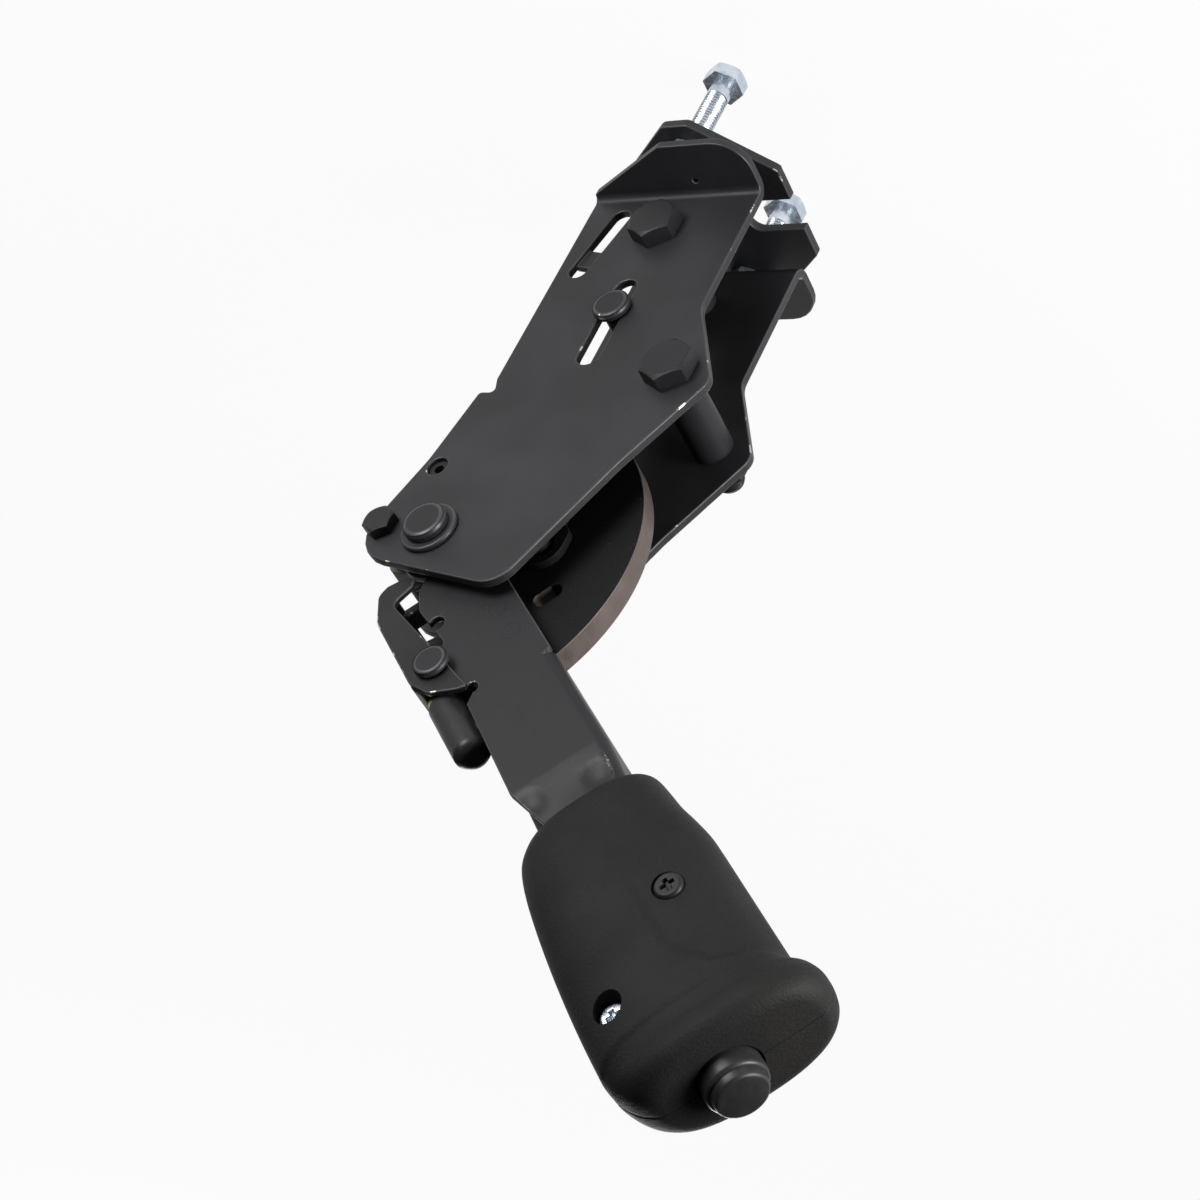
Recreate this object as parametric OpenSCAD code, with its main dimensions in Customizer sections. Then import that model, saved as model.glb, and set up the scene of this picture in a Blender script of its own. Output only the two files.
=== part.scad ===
// Ratchet parking brake lever: two folded side plates carry a channel lever on a
// cross pin. A sprung pawl on the lever drops into a fixed ratchet plate, and a
// push button in the end of the grip lifts it through a rod inside the lever.
// Origin: midway between the two foot bolts, on the underside of the feet.
// X runs forward across the plates, Y across the gap between them, Z up.

/* [Side plates] */
// Sheet thickness of both side plates
plate_t = 3; // [2:0.5:4]
// Clear width between the side plates
plate_gap = 32; // [31.5:0.5:38]
// Inside radius of the bend between plate and foot
bend_r = 2.5; // [1:0.5:4]
// Height of the lever pivot above the underside of the feet
pivot_h = 155; // [152:1:160]
// Distance of the lever pivot behind the foot bolts
pivot_back = 29; // [27:0.5:31]
// Height of the waist in the front edge
waist_h = 58; // [50:1:66]
// Radius of the waist
waist_r = 12; // [5:1:20]
// Drop from the pivot to the step in the rear edge
rear_step = 60; // [54:1:66]
// Size of the relief at that step
rear_relief = 6; // [4:0.5:7]

/* [Feet] */
// Front edge of the feet ahead of the foot bolts
foot_front = 28.5; // [24:0.5:32]
// Rear edge of the feet behind the foot bolts
foot_rear = 36.5; // [33:0.5:40]
// Reach of each foot out from its side plate
foot_reach = 21; // [19:0.5:26]
// Length of the slanted rear corner of each foot
foot_slant = 33.5; // [20:0.5:36]
// Radius of the front corner of each foot
foot_round = 12; // [6:1:14]
// Distance between the two foot bolts
foot_bolt_pitch = 58; // [57:0.5:62]
// Radius of the bolt holes in the clamp plate
foot_hole_r = 4.5; // [4.2:0.1:5]
// Small hole in each foot: ahead of the foot bolts, out from the middle
foot_pin_hole = [5.3, 24.7];
// Radius of the small hole in each foot
foot_pin_hole_r = 1; // [0.8:0.05:1.4]

/* [Clamp plate] */
// Thickness of the clamp plate under the feet
clamp_t = 3.5; // [3:0.5:5]
// Reach of the clamp plate ahead of and behind the bolts
clamp_half_l = 31; // [28:1:36]
// Half width of the clamp plate across the bolts
clamp_half_w = 41; // [38:1:46]
// Half width of its front and rear ends
clamp_end_half_w = 19; // [15:1:24]
// Half length of the straight edge beside each bolt
clamp_ear = 5; // [4:0.5:9]
// Width of the open cable notch
notch_w = 13.2; // [10:0.2:16]
// Depth of the open cable notch
notch_l = 20; // [14:1:22]
// Radius of the inner corners of the cable notch
notch_r = 4.5; // [2:0.5:4.8]
// Shank radius of the clamp bolts
clamp_bolt_r = 4; // [3.5:0.1:4.1]
// Length of the clamp bolts under the head
clamp_bolt_l = 35; // [25:1:50]
// Bolt end left below the feet
clamp_bolt_gap = 5; // [1:0.5:5.5]
// Width across the flats of clamp bolt heads and weld nuts
clamp_af = 13; // [12:0.5:15]
// Height of the clamp bolt heads
clamp_head_h = 5.3; // [4:0.1:7]
// Height of the weld nuts under the feet
weld_nut_h = 6; // [6:0.5:8]

/* [Cross bolts] */
// Height of the lower cross bolt above the feet
low_bolt_h = 20; // [18:0.2:22]
// Distance of the lower cross bolt behind the foot bolts
low_bolt_back = 4.5; // [3:0.5:6]
// Height of the upper cross bolt above the feet
high_bolt_h = 87; // [84:1:90]
// Distance of the upper cross bolt ahead of the foot bolts
high_bolt_front = 30; // [28:0.5:32]
// Shank radius of the cross bolts
cross_bolt_r = 5; // [4:0.1:5]
// Width across the flats of their heads and nuts
cross_af = 16; // [15:0.5:16.5]
// Height of their heads
cross_head_h = 6.4; // [5:0.1:8]
// Height of their nuts
cross_nut_h = 8; // [6:0.1:10]
// Thread showing beyond each nut
bolt_tail = 6; // [1:0.5:8]
// Outside radius of the spacer tubes
spacer_r = 7; // [6.2:0.1:8]
// Clearance of the cross bolts in plates and spacers
cross_gap = 0.15; // [0.1:0.05:0.4]
// Plate edge ahead of the upper cross bolt
lug_edge = 16; // [14:0.5:20]

/* [Slot and window] */
// Distance of the slot behind the foot bolts
slot_back = 5; // [4:0.5:6]
// Height of the slot's middle above the feet
slot_h = 63.5; // [63.4:0.1:64]
// Length of the slot from end to end
slot_l = 39; // [38.9:0.1:42]
// Clearance of the cable pin in its slot, each side
slot_gap = 0.3; // [0.2:0.05:0.5]
// Width of the rear window
window_w = 7; // [5:0.5:9]
// Lower end of the near plate's window: behind the bolts, above the feet
window_low = [22.6, 13];
// Upper end of the near plate's window: behind the bolts, above the feet
window_high = [28.2, 38.2];
// Width of the sunk bridge across the window
bridge_w = 8; // [4:0.5:9]

/* [Pivot and ratchet] */
// Radius of the pivot pin
pivot_r = 5; // [4.5:0.1:5.4]
// Radius of the pivot pin's head
pivot_head_r = 7.4; // [5.6:0.1:7.6]
// Height of the pivot pin's head
pivot_head_h = 3.4; // [2:0.2:4]
// Radius of the washers on the outside of the plates
washer_r = 9.75; // [8.5:0.25:11]
// Thickness of those washers
washer_t = 2; // [1:0.5:3]
// Thickness of the ratchet plate
ratchet_t = 6; // [5:0.5:7]
// Radius of the ratchet's tooth tips
tooth_tip_r = 15; // [14.4:0.1:15]
// Depth of the ratchet's teeth
tooth_depth = 2.6; // [1.8:0.1:2.8]
// Number of ratchet teeth
tooth_count = 11; // [9:1:11]
// Angle from one ratchet tooth to the next
tooth_pitch = 8; // [7:0.5:8]
// Angle of the first ratchet tooth
tooth_first = 62; // [60:1:66]
// Rivet that fixes the ratchet plate, from the pivot
rivet_pos = [-11.4, -27];
// Radius of that rivet
rivet_r = 3.6; // [3:0.1:4]
// Depth of the rivet's ends below the plates' outer faces
rivet_sunk = 1.4; // [0.5:0.1:1.8]
// Radius of the hollow in the rivet's ends
rivet_hollow_r = 1.6; // [1:0.1:2]
// Corner bolt that fixes the ratchet plate, from the pivot
corner_pos = [-19.3, -1];
// Shank radius of the corner bolt
corner_r = 3; // [2.5:0.1:3.1]
// Width across the flats of the corner bolt's head and nut
corner_af = 10; // [9:0.5:11]
// Height of the corner bolt's head
corner_head_h = 4; // [3:0.5:5]
// Height of the corner bolt's nut
corner_nut_h = 5; // [3:0.5:6]
// Wall of the sleeves beside the ratchet plate
sleeve_wall = 1.5; // [1:0.1:1.7]
// Rim of the ratchet plate round its fixings
ratchet_rim = 3.5; // [3:0.5:4]

/* [Lever] */
// Angle of the lever above the horizontal at rest
lever_angle = 42; // [41:0.5:43]
// Sheet thickness of the lever channel
lever_t = 2.5; // [2:0.1:2.6]
// Width over the lever channel
lever_w = 24; // [23.6:0.1:24]
// Upper edge of the channel where the neck begins
lever_top = 19; // [18.2:0.1:20]
// Lower face of the channel below the pivot line
lever_bottom = 12.5; // [12:0.1:13.5]
// Outside radius of the folded edges
fold_r = 3.5; // [3:0.1:4]
// Start of the folded web from the pivot
web_start = 70; // [69:0.5:74]
// Start of the neck from the pivot
neck_start = 113; // [108:1:118]
// End of the neck from the pivot
neck_end = 128; // [124:1:128]
// Length of the lever's tail inside the grip
tail_l = 64; // [58:1:65]
// Width over the tail inside the grip
tail_w = 19; // [18:0.5:20]
// Upper edge of the tail
tail_top = 15; // [12:0.5:16]
// Lower face of the tail
tail_bottom = 11; // [10:0.5:12]
// Radius of the walls round the pivot
disc_r = 13.5; // [12:0.1:13.8]
// Outside radius of the pivot bushes
bush_r = 7; // [6.5:0.1:8]
// Radius of the pivot bushes' flanges
bush_flange_r = 9; // [8.4:0.1:10]
// Thickness of the pivot bushes' flanges
bush_flange_t = 1.5; // [1:0.1:1.8]
// Radius of the ears round the pawl pin
ear_r = 6.2; // [5.6:0.1:6.4]
// Depth of the dents in the neck
dent = 0.9; // [0.4:0.1:1.2]

/* [Sector and links] */
// Radius of the sector's rim
sector_r = 66; // [64:0.5:68]
// Inner radius of the sector
sector_inner_r = 20; // [19:0.5:22]
// Thickness of the sector
sector_t = 8; // [7:0.5:8.4]
// Upper edge of the sector, degrees below the lever
sector_from = 10; // [8:0.5:12]
// Lower edge of the sector, degrees below the lever
sector_to = 104; // [100:1:105]
// Cable eye in the sector, in the lever's frame
eye_pos = [-0.5, -58.8];
// Radius of the cable eye
eye_r = 3.25; // [2.5:0.05:3.6]
// Radius of the hole in the far plate through which the cable eye's pin goes in
access_r = 4; // [3.8:0.1:5]
// Oblong cut-out in the sector, in the lever's frame
oblong_pos = [39.5, -19.8];
// Length of the oblong cut-out
oblong_l = 10; // [7:0.5:12]
// Width of the oblong cut-out
oblong_w = 5.5; // [4:0.5:7]
// Distances of the sector rivets from the pivot
sector_rivets_at = [42, 54];
// Depth of the sector rivets below the pivot line
sector_rivet_m = 5; // [4.5:0.1:6]
// Shank radius of the sector rivets
sector_rivet_r = 3; // [2.5:0.1:3.2]
// Radius of the sector rivets' spacers
sector_spacer_r = 5; // [4.5:0.1:5]
// Distance of the crank pin from the pivot
crank_l = 33; // [32.5:0.1:33.5]
// Angle of the crank pin below the horizontal at rest
crank_drop = 9.5; // [9:0.1:10]
// Radius of the crank pin
crank_r = 4; // [3.5:0.1:4.1]
// Gap above and below the crank pin in the links' slot
yoke_gap = 0.7; // [0.6:0.05:0.8]
// Play of the crank pin along the links' slot
yoke_play = 4.5; // [4.2:0.1:5]
// Thickness of each pull link
link_t = 3; // [2.5:0.1:3.4]
// Width of each pull link
link_w = 12; // [11:0.5:13]
// Gap between each link and the sector
link_gap = 0.6; // [0.4:0.1:0.8]
// Radius of the cable pin in the plates' slots
cable_pin_r = 4; // [3.8:0.05:4.1]
// Height of the cable pin below the slot's middle at rest
cable_pin_drop = 5.5; // [5.4:0.1:5.5]
// Radius of the cable pin's head
cable_head_r = 6.6; // [5.6:0.1:7]
// Height of the cable pin's head
cable_head_h = 3; // [2:0.2:4]

/* [Pawl] */
// Pawl pin in the lever's frame
pawl_pos = [50.3, 20];
// Radius of the pawl pin
pawl_pin_r = 4; // [3.5:0.1:4]
// Radius of the pawl pin's heads
pawl_head_r = 5.8; // [5:0.1:7]
// Height of the pawl pin's heads
pawl_head_h = 2.4; // [1.6:0.1:3]
// Sheet thickness of the pawl strap
strap_t = 2; // [1.7:0.1:2]
// Top of the strap above the pivot line
strap_top = 29; // [28.8:0.1:30]
// Release tongue along the lever
tongue_at = 55; // [54.8:0.1:55.2]
// Thickness of the release tongue
tongue_t = 2.2; // [1.8:0.1:2.2]
// Half width of the release tongue
tongue_half_w = 8; // [7:0.5:8.5]
// Half width of the nose that meets the ratchet plate
nose_half_w = 3.4; // [3.2:0.1:4]

/* [Release] */
// Height of the release rod above the pivot line
rod_m = 6; // [5.8:0.1:6.4]
// Radius of the release rod
rod_r = 3; // [2.5:0.1:3.2]
// Travel of the push button
button_travel = 4; // [4:0.1:4.4]
// Radius of the push button
button_r = 8; // [7:0.1:8.4]
// Radius of the raised face of the push button
button_face_r = 6.5; // [5.5:0.1:6.8]
// Button standing out of the grip
button_out = 8; // [5:0.5:9]
// Radius of the flange that keeps the button in
button_flange_r = 9.3; // [8.8:0.1:9.8]
// Length of that flange
button_flange_l = 3; // [2:0.5:4]
// Height of the plunger's axis above the pivot line
plunger_m = 23; // [22.9:0.1:23.4]
// Offset of the plunger from the middle of the lever
plunger_y = 5.9; // [5.5:0.1:6]
// Radius of the plunger
plunger_r = 5; // [4.4:0.1:5]
// Plunger standing out of its sleeve
plunger_out = 3; // [2.9:0.1:4]
// Length of the plunger inside its sleeve
plunger_in = 8; // [6:0.5:10]
// Wall of the spring sleeve
spring_sleeve_wall = 0.8; // [0.6:0.05:0.9]
// Length of the spring sleeve
spring_sleeve_l = 26; // [24:0.5:28]
// Thickness of the spring sleeve's closed end
spring_sleeve_floor = 3; // [2:0.5:4]
// Rod guide along the lever
guide_at = 77; // [74:1:79]
// Thickness of the rod guide
guide_t = 3; // [2:0.5:4]
// Wire radius of both springs
wire_r = 0.6; // [0.4:0.05:0.8]

/* [Grip] */
// Mouth of the grip from the pivot
grip_start = 131; // [128.5:0.5:132]
// Length of the grip
grip_l = 97.5; // [95:0.5:102]
// Height of the palm side above the pivot line
palm_h = 34.9; // [33:0.1:37]
// Depth of the finger side below the pivot line
finger_d = 22; // [20:0.1:23]
// Depth of the guard below the pivot line
guard_d = 27; // [25.5:0.1:29]
// Half width of the grip
grip_half_w = 17; // [16.5:0.1:18.5]
// Half width of the flared guard
guard_half_w = 18; // [17.6:0.1:20]
// Height of the palm side behind the mouth
mouth_h = 28; // [27:0.1:30]
// Depth of the finger side behind the mouth
mouth_d = 18.8; // [17:0.1:19.5]
// Length of the flared guard
guard_l = 17; // [16:0.5:20]
// Grip screw through the lever, in the lever's frame
screw_front = [178, -5.5];
// Distance of the other grip screw from the end of the grip
end_screw_in = 27.3; // [26:0.1:29]
// Height of that screw above the pivot line
end_screw_m = 23.3; // [22:0.1:24]
// Shank radius of the grip screws
screw_r = 2.2; // [1.8:0.1:2.4]
// Radius of the grip screws' heads
screw_head_r = 4.2; // [3.8:0.1:4.6]
// Height of the grip screws' heads
screw_head_h = 2.8; // [2:0.1:3]
// Seat of the front screw's head from the middle plane
front_seat = 13.2; // [12.5:0.1:13.4]
// Seat of the end screw's head from the middle plane
end_seat = 8; // [6:0.5:9]

/* [Clearances] */
// Clearance round a pin or shaft that turns or slides
running = 0.06; // [0.03:0.01:0.09]
// Clearance round a pin or bush that is fixed
seated = 0.05; // [0.03:0.01:0.1]
// Gap between faces that slide past each other
face_gap = 0.3; // [0.25:0.05:0.4]
// Clearance round the lever in the grip
pocket_gap = 0.15; // [0.1:0.05:0.3]

/* [Hidden] */
$fn = 64;
black = [0.12, 0.12, 0.13];
dark = [0.2, 0.19, 0.19];
zinc = [0.78, 0.8, 0.83];
steel = [0.45, 0.42, 0.4];
brass = [0.75, 0.62, 0.36];
cut = 1;
inner_y = plate_gap / 2;
outer_y = inner_y + plate_t;
pivot = [-pivot_back, pivot_h];
low_bolt = [-low_bolt_back, low_bolt_h];
high_bolt = [high_bolt_front, high_bolt_h];
slot_mid = [-slot_back, slot_h];
slot_w = 2 * (cable_pin_r + slot_gap);
cable_pin_pos = slot_mid - [0, cable_pin_drop];
rivet = pivot + rivet_pos;
eye_rest = pivot + [
    eye_pos.x * cos(lever_angle) - eye_pos.y * sin(lever_angle),
    eye_pos.x * sin(lever_angle) + eye_pos.y * cos(lever_angle)
];
corner = pivot + corner_pos;
foot_bolt_y = foot_bolt_pitch / 2;
bend_y = outer_y + bend_r;
bend_z = plate_t + bend_r;
foot_y = outer_y + foot_reach;
clamp_top = -weld_nut_h;
cross_hole_r = cross_bolt_r + cross_gap;
hex_k = 1 / cos(30);
wall_out = lever_w / 2;
wall_in = wall_out - lever_t;
fold_m = fold_r - lever_bottom;
tail_out = tail_w / 2;
tail_in = tail_out - lever_t;
ratchet_y = ratchet_t / 2;
sector_y = sector_t / 2;
link_in = sector_y + link_gap;
link_out = link_in + link_t;
crank = crank_l * [cos(crank_drop), -sin(crank_drop)];
strap_in = wall_out + face_gap;
strap_out = strap_in + strap_t;
tongue_face = tongue_at + tongue_t;
plunger_start = tongue_face + face_gap;
sleeve_start = plunger_start + plunger_out;
sleeve_end = sleeve_start + spring_sleeve_l;
sleeve_bore = plunger_r + running;
sleeve_r = sleeve_bore + spring_sleeve_wall;
plunger_end = sleeve_start + plunger_in;
grip_end = grip_start + grip_l;
button_end = grip_end + button_out;
button_seat = grip_end - 15;
flange_start = button_seat - face_gap - button_flange_l;
chamber_start = flange_start - button_travel - 5;
screw_bottom = 14;
round_lap = 0.02;
lever_l = grip_start + tail_l;
screw_end = [grip_end - end_screw_in, end_screw_m];
sleeve_floor = sleeve_end - spring_sleeve_floor;
tooth_root = tooth_depth + 0.4;

function unit(v) = v / norm(v);
function flat(v) = [v[0], v[1]];
// Arc that rounds the corner b between a and c
function arc_corner(a, b, c, r, n) =
    let (u = unit(a - b), w = unit(c - b), half = acos(u * w) / 2)
    let (m = b + unit(u + w) * r / sin(half), p = b + u * r / tan(half) - m)
    let (q = b + w * r / tan(half) - m, a0 = atan2(p.y, p.x))
    let (turn = ((atan2(q.y, q.x) - a0 + 540) % 360) - 180)
    [for (i = [0:n]) m + r * [cos(a0 + turn * i / n), sin(a0 + turn * i / n)]];
// Profile from corners given as [x, y, radius]
function rounded(pts, n = 6) = [
    for (i = [0:len(pts) - 1])
    let (b = pts[i], a = pts[(i + len(pts) - 1) % len(pts)], c = pts[(i + 1) % len(pts)])
    each (b[2] > 0 ? arc_corner(flat(a), flat(b), flat(c), b[2], n) : [flat(b)])
];

module at(p) {
    translate([p.x, 0, p.y]) children();
}

module y_cyl(r, y0, y1) {
    translate([0, y0, 0]) rotate([-90, 0, 0]) cylinder(r = r, h = y1 - y0);
}

module y_tube(r, bore, y0, y1) {
    difference() {
        y_cyl(r, y0, y1);
        y_cyl(bore, y0 - cut, y1 + cut);
    }
}

module y_hex(af, y0, y1) {
    translate([0, y0, 0]) rotate([-90, 0, 0]) cylinder(r = af / 2 * hex_k, h = y1 - y0, $fn = 6);
}

// Flat head with a chamfered edge along Y
module y_head(r, y0, h) {
    edge = h * 0.25;
    y_cyl(r, y0, y0 + h - edge);
    translate([0, y0 + h - edge, 0]) rotate([-90, 0, 0]) cylinder(r1 = r, r2 = r - edge, h = edge);
}

// Cylinder along the lever
module s_cyl(r, s0, s1) {
    translate([s0, 0, 0]) rotate([0, 90, 0]) cylinder(r = r, h = s1 - s0);
}

// Flat profile in the plane of the side plates
module y_plate(pts, y0, y1) {
    translate([0, y1, 0]) rotate([90, 0, 0]) linear_extrude(y1 - y0) polygon(pts);
}

// Profile across the lever, drawn out along it
module s_bar(s0, s1) {
    translate([s0, 0, 0]) rotate([90, 0, 90]) linear_extrude(s1 - s0) children();
}

module both_sides() {
    children();
    mirror([0, 1, 0]) children();
}

// Places the lever's frame: X along the lever, Z away from its web
module on_lever() {
    at(pivot) rotate([0, -lever_angle, 0]) children();
}

// Bar with round ends between two points
module slot_bar(a, b, w, y0, y1) {
    d = b - a;
    at(a) y_cyl(w / 2, y0, y1);
    at(b) y_cyl(w / 2, y0, y1);
    at(a) rotate([0, -atan2(d.y, d.x), 0]) translate([0, y0, round_lap - w / 2])
        cube([norm(d), y1 - y0, w - 2 * round_lap]);
}

// Wire coil along the lever
module coil(r, wire, turns, l) {
    steps = 14;
    sides = 6;
    n = turns * steps;
    ring = [
        for (i = [0:n], k = [0:sides - 1])
        let (a = 360 * i / steps, b = 360 * k / sides, d = r + wire * cos(b))
        [wire + (l - 2 * wire) * i / n + wire * sin(b), d * cos(a), d * sin(a)]
    ];
    skin = [
        for (i = [0:n - 1], k = [0:sides - 1])
        let (p = i * sides + k, q = i * sides + (k + 1) % sides)
        each [[p, q + sides, q], [p, p + sides, q + sides]]
    ];
    caps = [[for (k = [0:sides - 1]) k], [for (k = [sides - 1:-1:0]) n * sides + k]];
    polyhedron(ring, concat(skin, caps));
}

plate_outline = rounded([
    [-foot_rear, bend_z, 0],
    [foot_front, bend_z, 0],
    [foot_front, waist_h, waist_r],
    [high_bolt.x + lug_edge, high_bolt.y + 4, 7],
    [pivot.x + 56.5, pivot.y - 29, 40],
    [pivot.x + 35, pivot.y + 21, 10],
    [corner.x - 9.2, corner.y + 11.3, 14],
    [pivot.x - 16.5, pivot.y - rear_step / 2, 30],
    [pivot.x - 11.5, pivot.y - rear_step, 1.5],
    [pivot.x - 11.5 + rear_relief, pivot.y - rear_step, 1.5],
    [-foot_rear, pivot.y - rear_step - rear_relief, 1]
]);

foot_outline = rounded([
    [-foot_rear, bend_y, 0],
    [foot_front, bend_y, 0],
    [foot_front, foot_y, foot_round],
    [-foot_rear + foot_slant, foot_y, 4]
]);

// Bent strip that joins a side plate to its foot
module foot_bend() {
    bend_out = bend_r + plate_t;
    translate([0, bend_y, bend_z]) s_bar(-foot_rear, foot_front) intersection() {
        difference() {
            circle(bend_out);
            circle(bend_r);
        }
        translate([-bend_out, -bend_out]) square(bend_out);
    }
}

module side_plate(window) {
    y0 = inner_y - cut;
    y1 = outer_y + cut;
    low = [-window_low.x, window_low.y];
    high = [-window_high.x, window_high.y];
    run = [0, (slot_l - slot_w) / 2];
    difference() {
        union() {
            y_plate(plate_outline, inner_y, outer_y);
            foot_bend();
            linear_extrude(plate_t) polygon(foot_outline);
        }
        at(low_bolt) y_cyl(cross_hole_r, y0, y1);
        at(high_bolt) y_cyl(cross_hole_r, y0, y1);
        at(pivot) y_cyl(pivot_r + seated, y0, y1);
        at(rivet) y_cyl(rivet_r + seated, y0, y1);
        at(corner) y_cyl(corner_r + seated, y0, y1);
        slot_bar(slot_mid - run, slot_mid + run, slot_w, y0, y1);
        if (window) slot_bar(low, high, window_w, y0, y1);
        if (!window) at(eye_rest) y_cyl(access_r, y0, y1);
        translate([foot_pin_hole.x, foot_pin_hole.y, -cut])
            cylinder(r = foot_pin_hole_r, h = plate_t + 2 * cut);
    }
    if (window) at(low + (high - low) * 0.74) rotate([0, -atan2(high.y - low.y, high.x - low.x), 0])
        translate([-bridge_w / 2, inner_y - cut, -window_w / 2 - cut])
        cube([bridge_w, plate_t / 2 + cut, window_w + 2 * cut]);
}

module near_side_plate() {
    color(black) side_plate(true);
}

module far_side_plate() {
    color(black) mirror([0, 1, 0]) side_plate(false);
}

module clamp_plate() {
    half = [
        [clamp_half_l, clamp_end_half_w, 1.5],
        [clamp_ear, clamp_half_w, 4],
        [-clamp_ear, clamp_half_w, 4],
        [-clamp_half_l, clamp_end_half_w, 1.5]
    ];
    other = [for (i = [3:-1:0]) [half[i][0], -half[i][1], half[i][2]]];
    notch = rounded([
        [clamp_half_l + cut, -notch_w / 2, 0],
        [clamp_half_l + cut, notch_w / 2, 0],
        [clamp_half_l - notch_l, notch_w / 2, notch_r],
        [clamp_half_l - notch_l, -notch_w / 2, notch_r]
    ]);
    color(black) translate([0, 0, clamp_top - clamp_t]) difference() {
        linear_extrude(clamp_t) polygon(rounded(concat(half, other)));
        translate([0, 0, -cut]) linear_extrude(clamp_t + 2 * cut) polygon(notch);
        both_sides() translate([0, foot_bolt_y, -cut]) cylinder(r = foot_hole_r, h = clamp_t + 2 * cut);
    }
}

module clamp_bolts() {
    seat = -clamp_bolt_gap - clamp_bolt_l;
    color(zinc) both_sides() translate([0, foot_bolt_y, seat]) {
        cylinder(r = clamp_bolt_r, h = clamp_bolt_l);
        translate([0, 0, -clamp_head_h]) cylinder(r = clamp_af / 2 * hex_k, h = clamp_head_h, $fn = 6);
    }
}

module weld_nuts() {
    color(zinc) both_sides() translate([0, foot_bolt_y, -weld_nut_h]) difference() {
        cylinder(r = clamp_af / 2 * hex_k, h = weld_nut_h, $fn = 6);
        translate([0, 0, -cut]) cylinder(r = clamp_bolt_r + seated, h = weld_nut_h + 2 * cut);
    }
}

module cross_bolt() {
    y_cyl(cross_bolt_r, -outer_y - cross_nut_h - bolt_tail, outer_y);
    y_hex(cross_af, outer_y, outer_y + cross_head_h);
}

module hex_nut(af, bore, h) {
    difference() {
        y_hex(af, -outer_y - h, -outer_y);
        y_cyl(bore, -outer_y - h - cut, -outer_y + cut);
    }
}

module lower_bolt() {
    color(black) at(low_bolt) cross_bolt();
}

module lower_nut() {
    color(black) at(low_bolt) hex_nut(cross_af, cross_bolt_r + seated, cross_nut_h);
}

module lower_spacer() {
    color(dark) at(low_bolt) y_tube(spacer_r, cross_hole_r, -inner_y, inner_y);
}

module upper_bolt() {
    color(black) at(high_bolt) cross_bolt();
}

module upper_nut() {
    color(black) at(high_bolt) hex_nut(cross_af, cross_bolt_r + seated, cross_nut_h);
}

module upper_spacer() {
    color(dark) at(high_bolt) y_tube(spacer_r, cross_hole_r, -inner_y, inner_y);
}

module pivot_pin() {
    seat = outer_y + washer_t;
    color(dark) at(pivot) {
        y_cyl(pivot_r, -seat - 3.5, seat);
        y_head(pivot_head_r, seat, pivot_head_h);
    }
}

module pivot_washers() {
    color(black) at(pivot) both_sides() y_tube(washer_r, pivot_r + seated, outer_y, outer_y + washer_t);
}

module pivot_retainer() {
    seat = -outer_y - washer_t;
    color(zinc) at(pivot) y_tube(pivot_head_r + 2, pivot_r + seated, seat - 2, seat);
}

module thrust_washers() {
    color(steel) at(pivot) both_sides()
        y_tube(bush_flange_r, pivot_r + seated, wall_out + bush_flange_t + face_gap, inner_y);
}

module pivot_spacers() {
    color(steel) at(pivot) both_sides()
        y_tube(bush_flange_r - 0.5, pivot_r + seated, ratchet_y, wall_in - face_gap);
}

// Saw teeth: a long ramp, then a steep drop that holds the pawl
tooth_points = [
    for (i = [0:tooth_count - 1], k = [0, 1, 2])
    let (a = tooth_first + tooth_pitch * (i + [0, 0.8, 1][k]))
    (tooth_tip_r - [tooth_root, 0, tooth_root][k]) * [cos(a), sin(a)]
];

// Outline of the two arms that reach the ratchet plate's fixings
function corner_at(p, r) = [p.x, p.y, r];
arm_dir = unit(rivet_pos);
arm_side = [-arm_dir.y, arm_dir.x];
arm_half_w = rivet_r + ratchet_rim;
arm_end = rivet_pos + arm_dir * arm_half_w;
fix_half_w = corner_r + sleeve_wall + 0.8;
arm_outline = rounded([
    corner_at(arm_side * arm_half_w, 0),
    corner_at(arm_end + arm_side * arm_half_w, arm_half_w - 0.3),
    corner_at(arm_end - arm_side * arm_half_w, arm_half_w - 0.8),
    corner_at(rivet_pos - arm_side * arm_half_w - arm_dir * 3, 0),
    corner_at((rivet_pos + corner_pos) / 2, 3),
    corner_at(corner_pos + [-fix_half_w, -fix_half_w], 4),
    corner_at(corner_pos + [-fix_half_w, fix_half_w], 4),
    corner_at([0, fix_half_w], 0)
]);

module ratchet_plate() {
    y0 = -ratchet_y - cut;
    y1 = ratchet_y + cut;
    color(steel) at(pivot) difference() {
        union() {
            y_cyl(tooth_tip_r - tooth_depth, -ratchet_y, ratchet_y);
            y_plate(concat([[0, 0]], tooth_points), -ratchet_y, ratchet_y);
            y_plate(arm_outline, -ratchet_y, ratchet_y);
        }
        y_cyl(pivot_r + seated, y0, y1);
        at(rivet_pos) y_cyl(rivet_r + seated, y0, y1);
        at(corner_pos) y_cyl(corner_r + seated, y0, y1);
    }
}

module ratchet_rivet() {
    end = outer_y - rivet_sunk;
    color(steel) at(rivet) difference() {
        y_cyl(rivet_r, -end, end);
        both_sides() y_cyl(rivet_hollow_r, end - 3, end + cut);
    }
}

module ratchet_sleeves() {
    color(dark) both_sides() {
        at(rivet) y_tube(rivet_r + sleeve_wall, rivet_r + seated, ratchet_y, inner_y);
        at(corner) y_tube(corner_r + sleeve_wall, corner_r + seated, ratchet_y, inner_y);
    }
}

module corner_bolt() {
    color(dark) at(corner) {
        y_cyl(corner_r, -outer_y - corner_nut_h - 1.5, outer_y);
        y_hex(corner_af, outer_y, outer_y + corner_head_h);
    }
}

module corner_nut() {
    color(dark) at(corner) hex_nut(corner_af, corner_r + seated, corner_nut_h);
}

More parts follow.
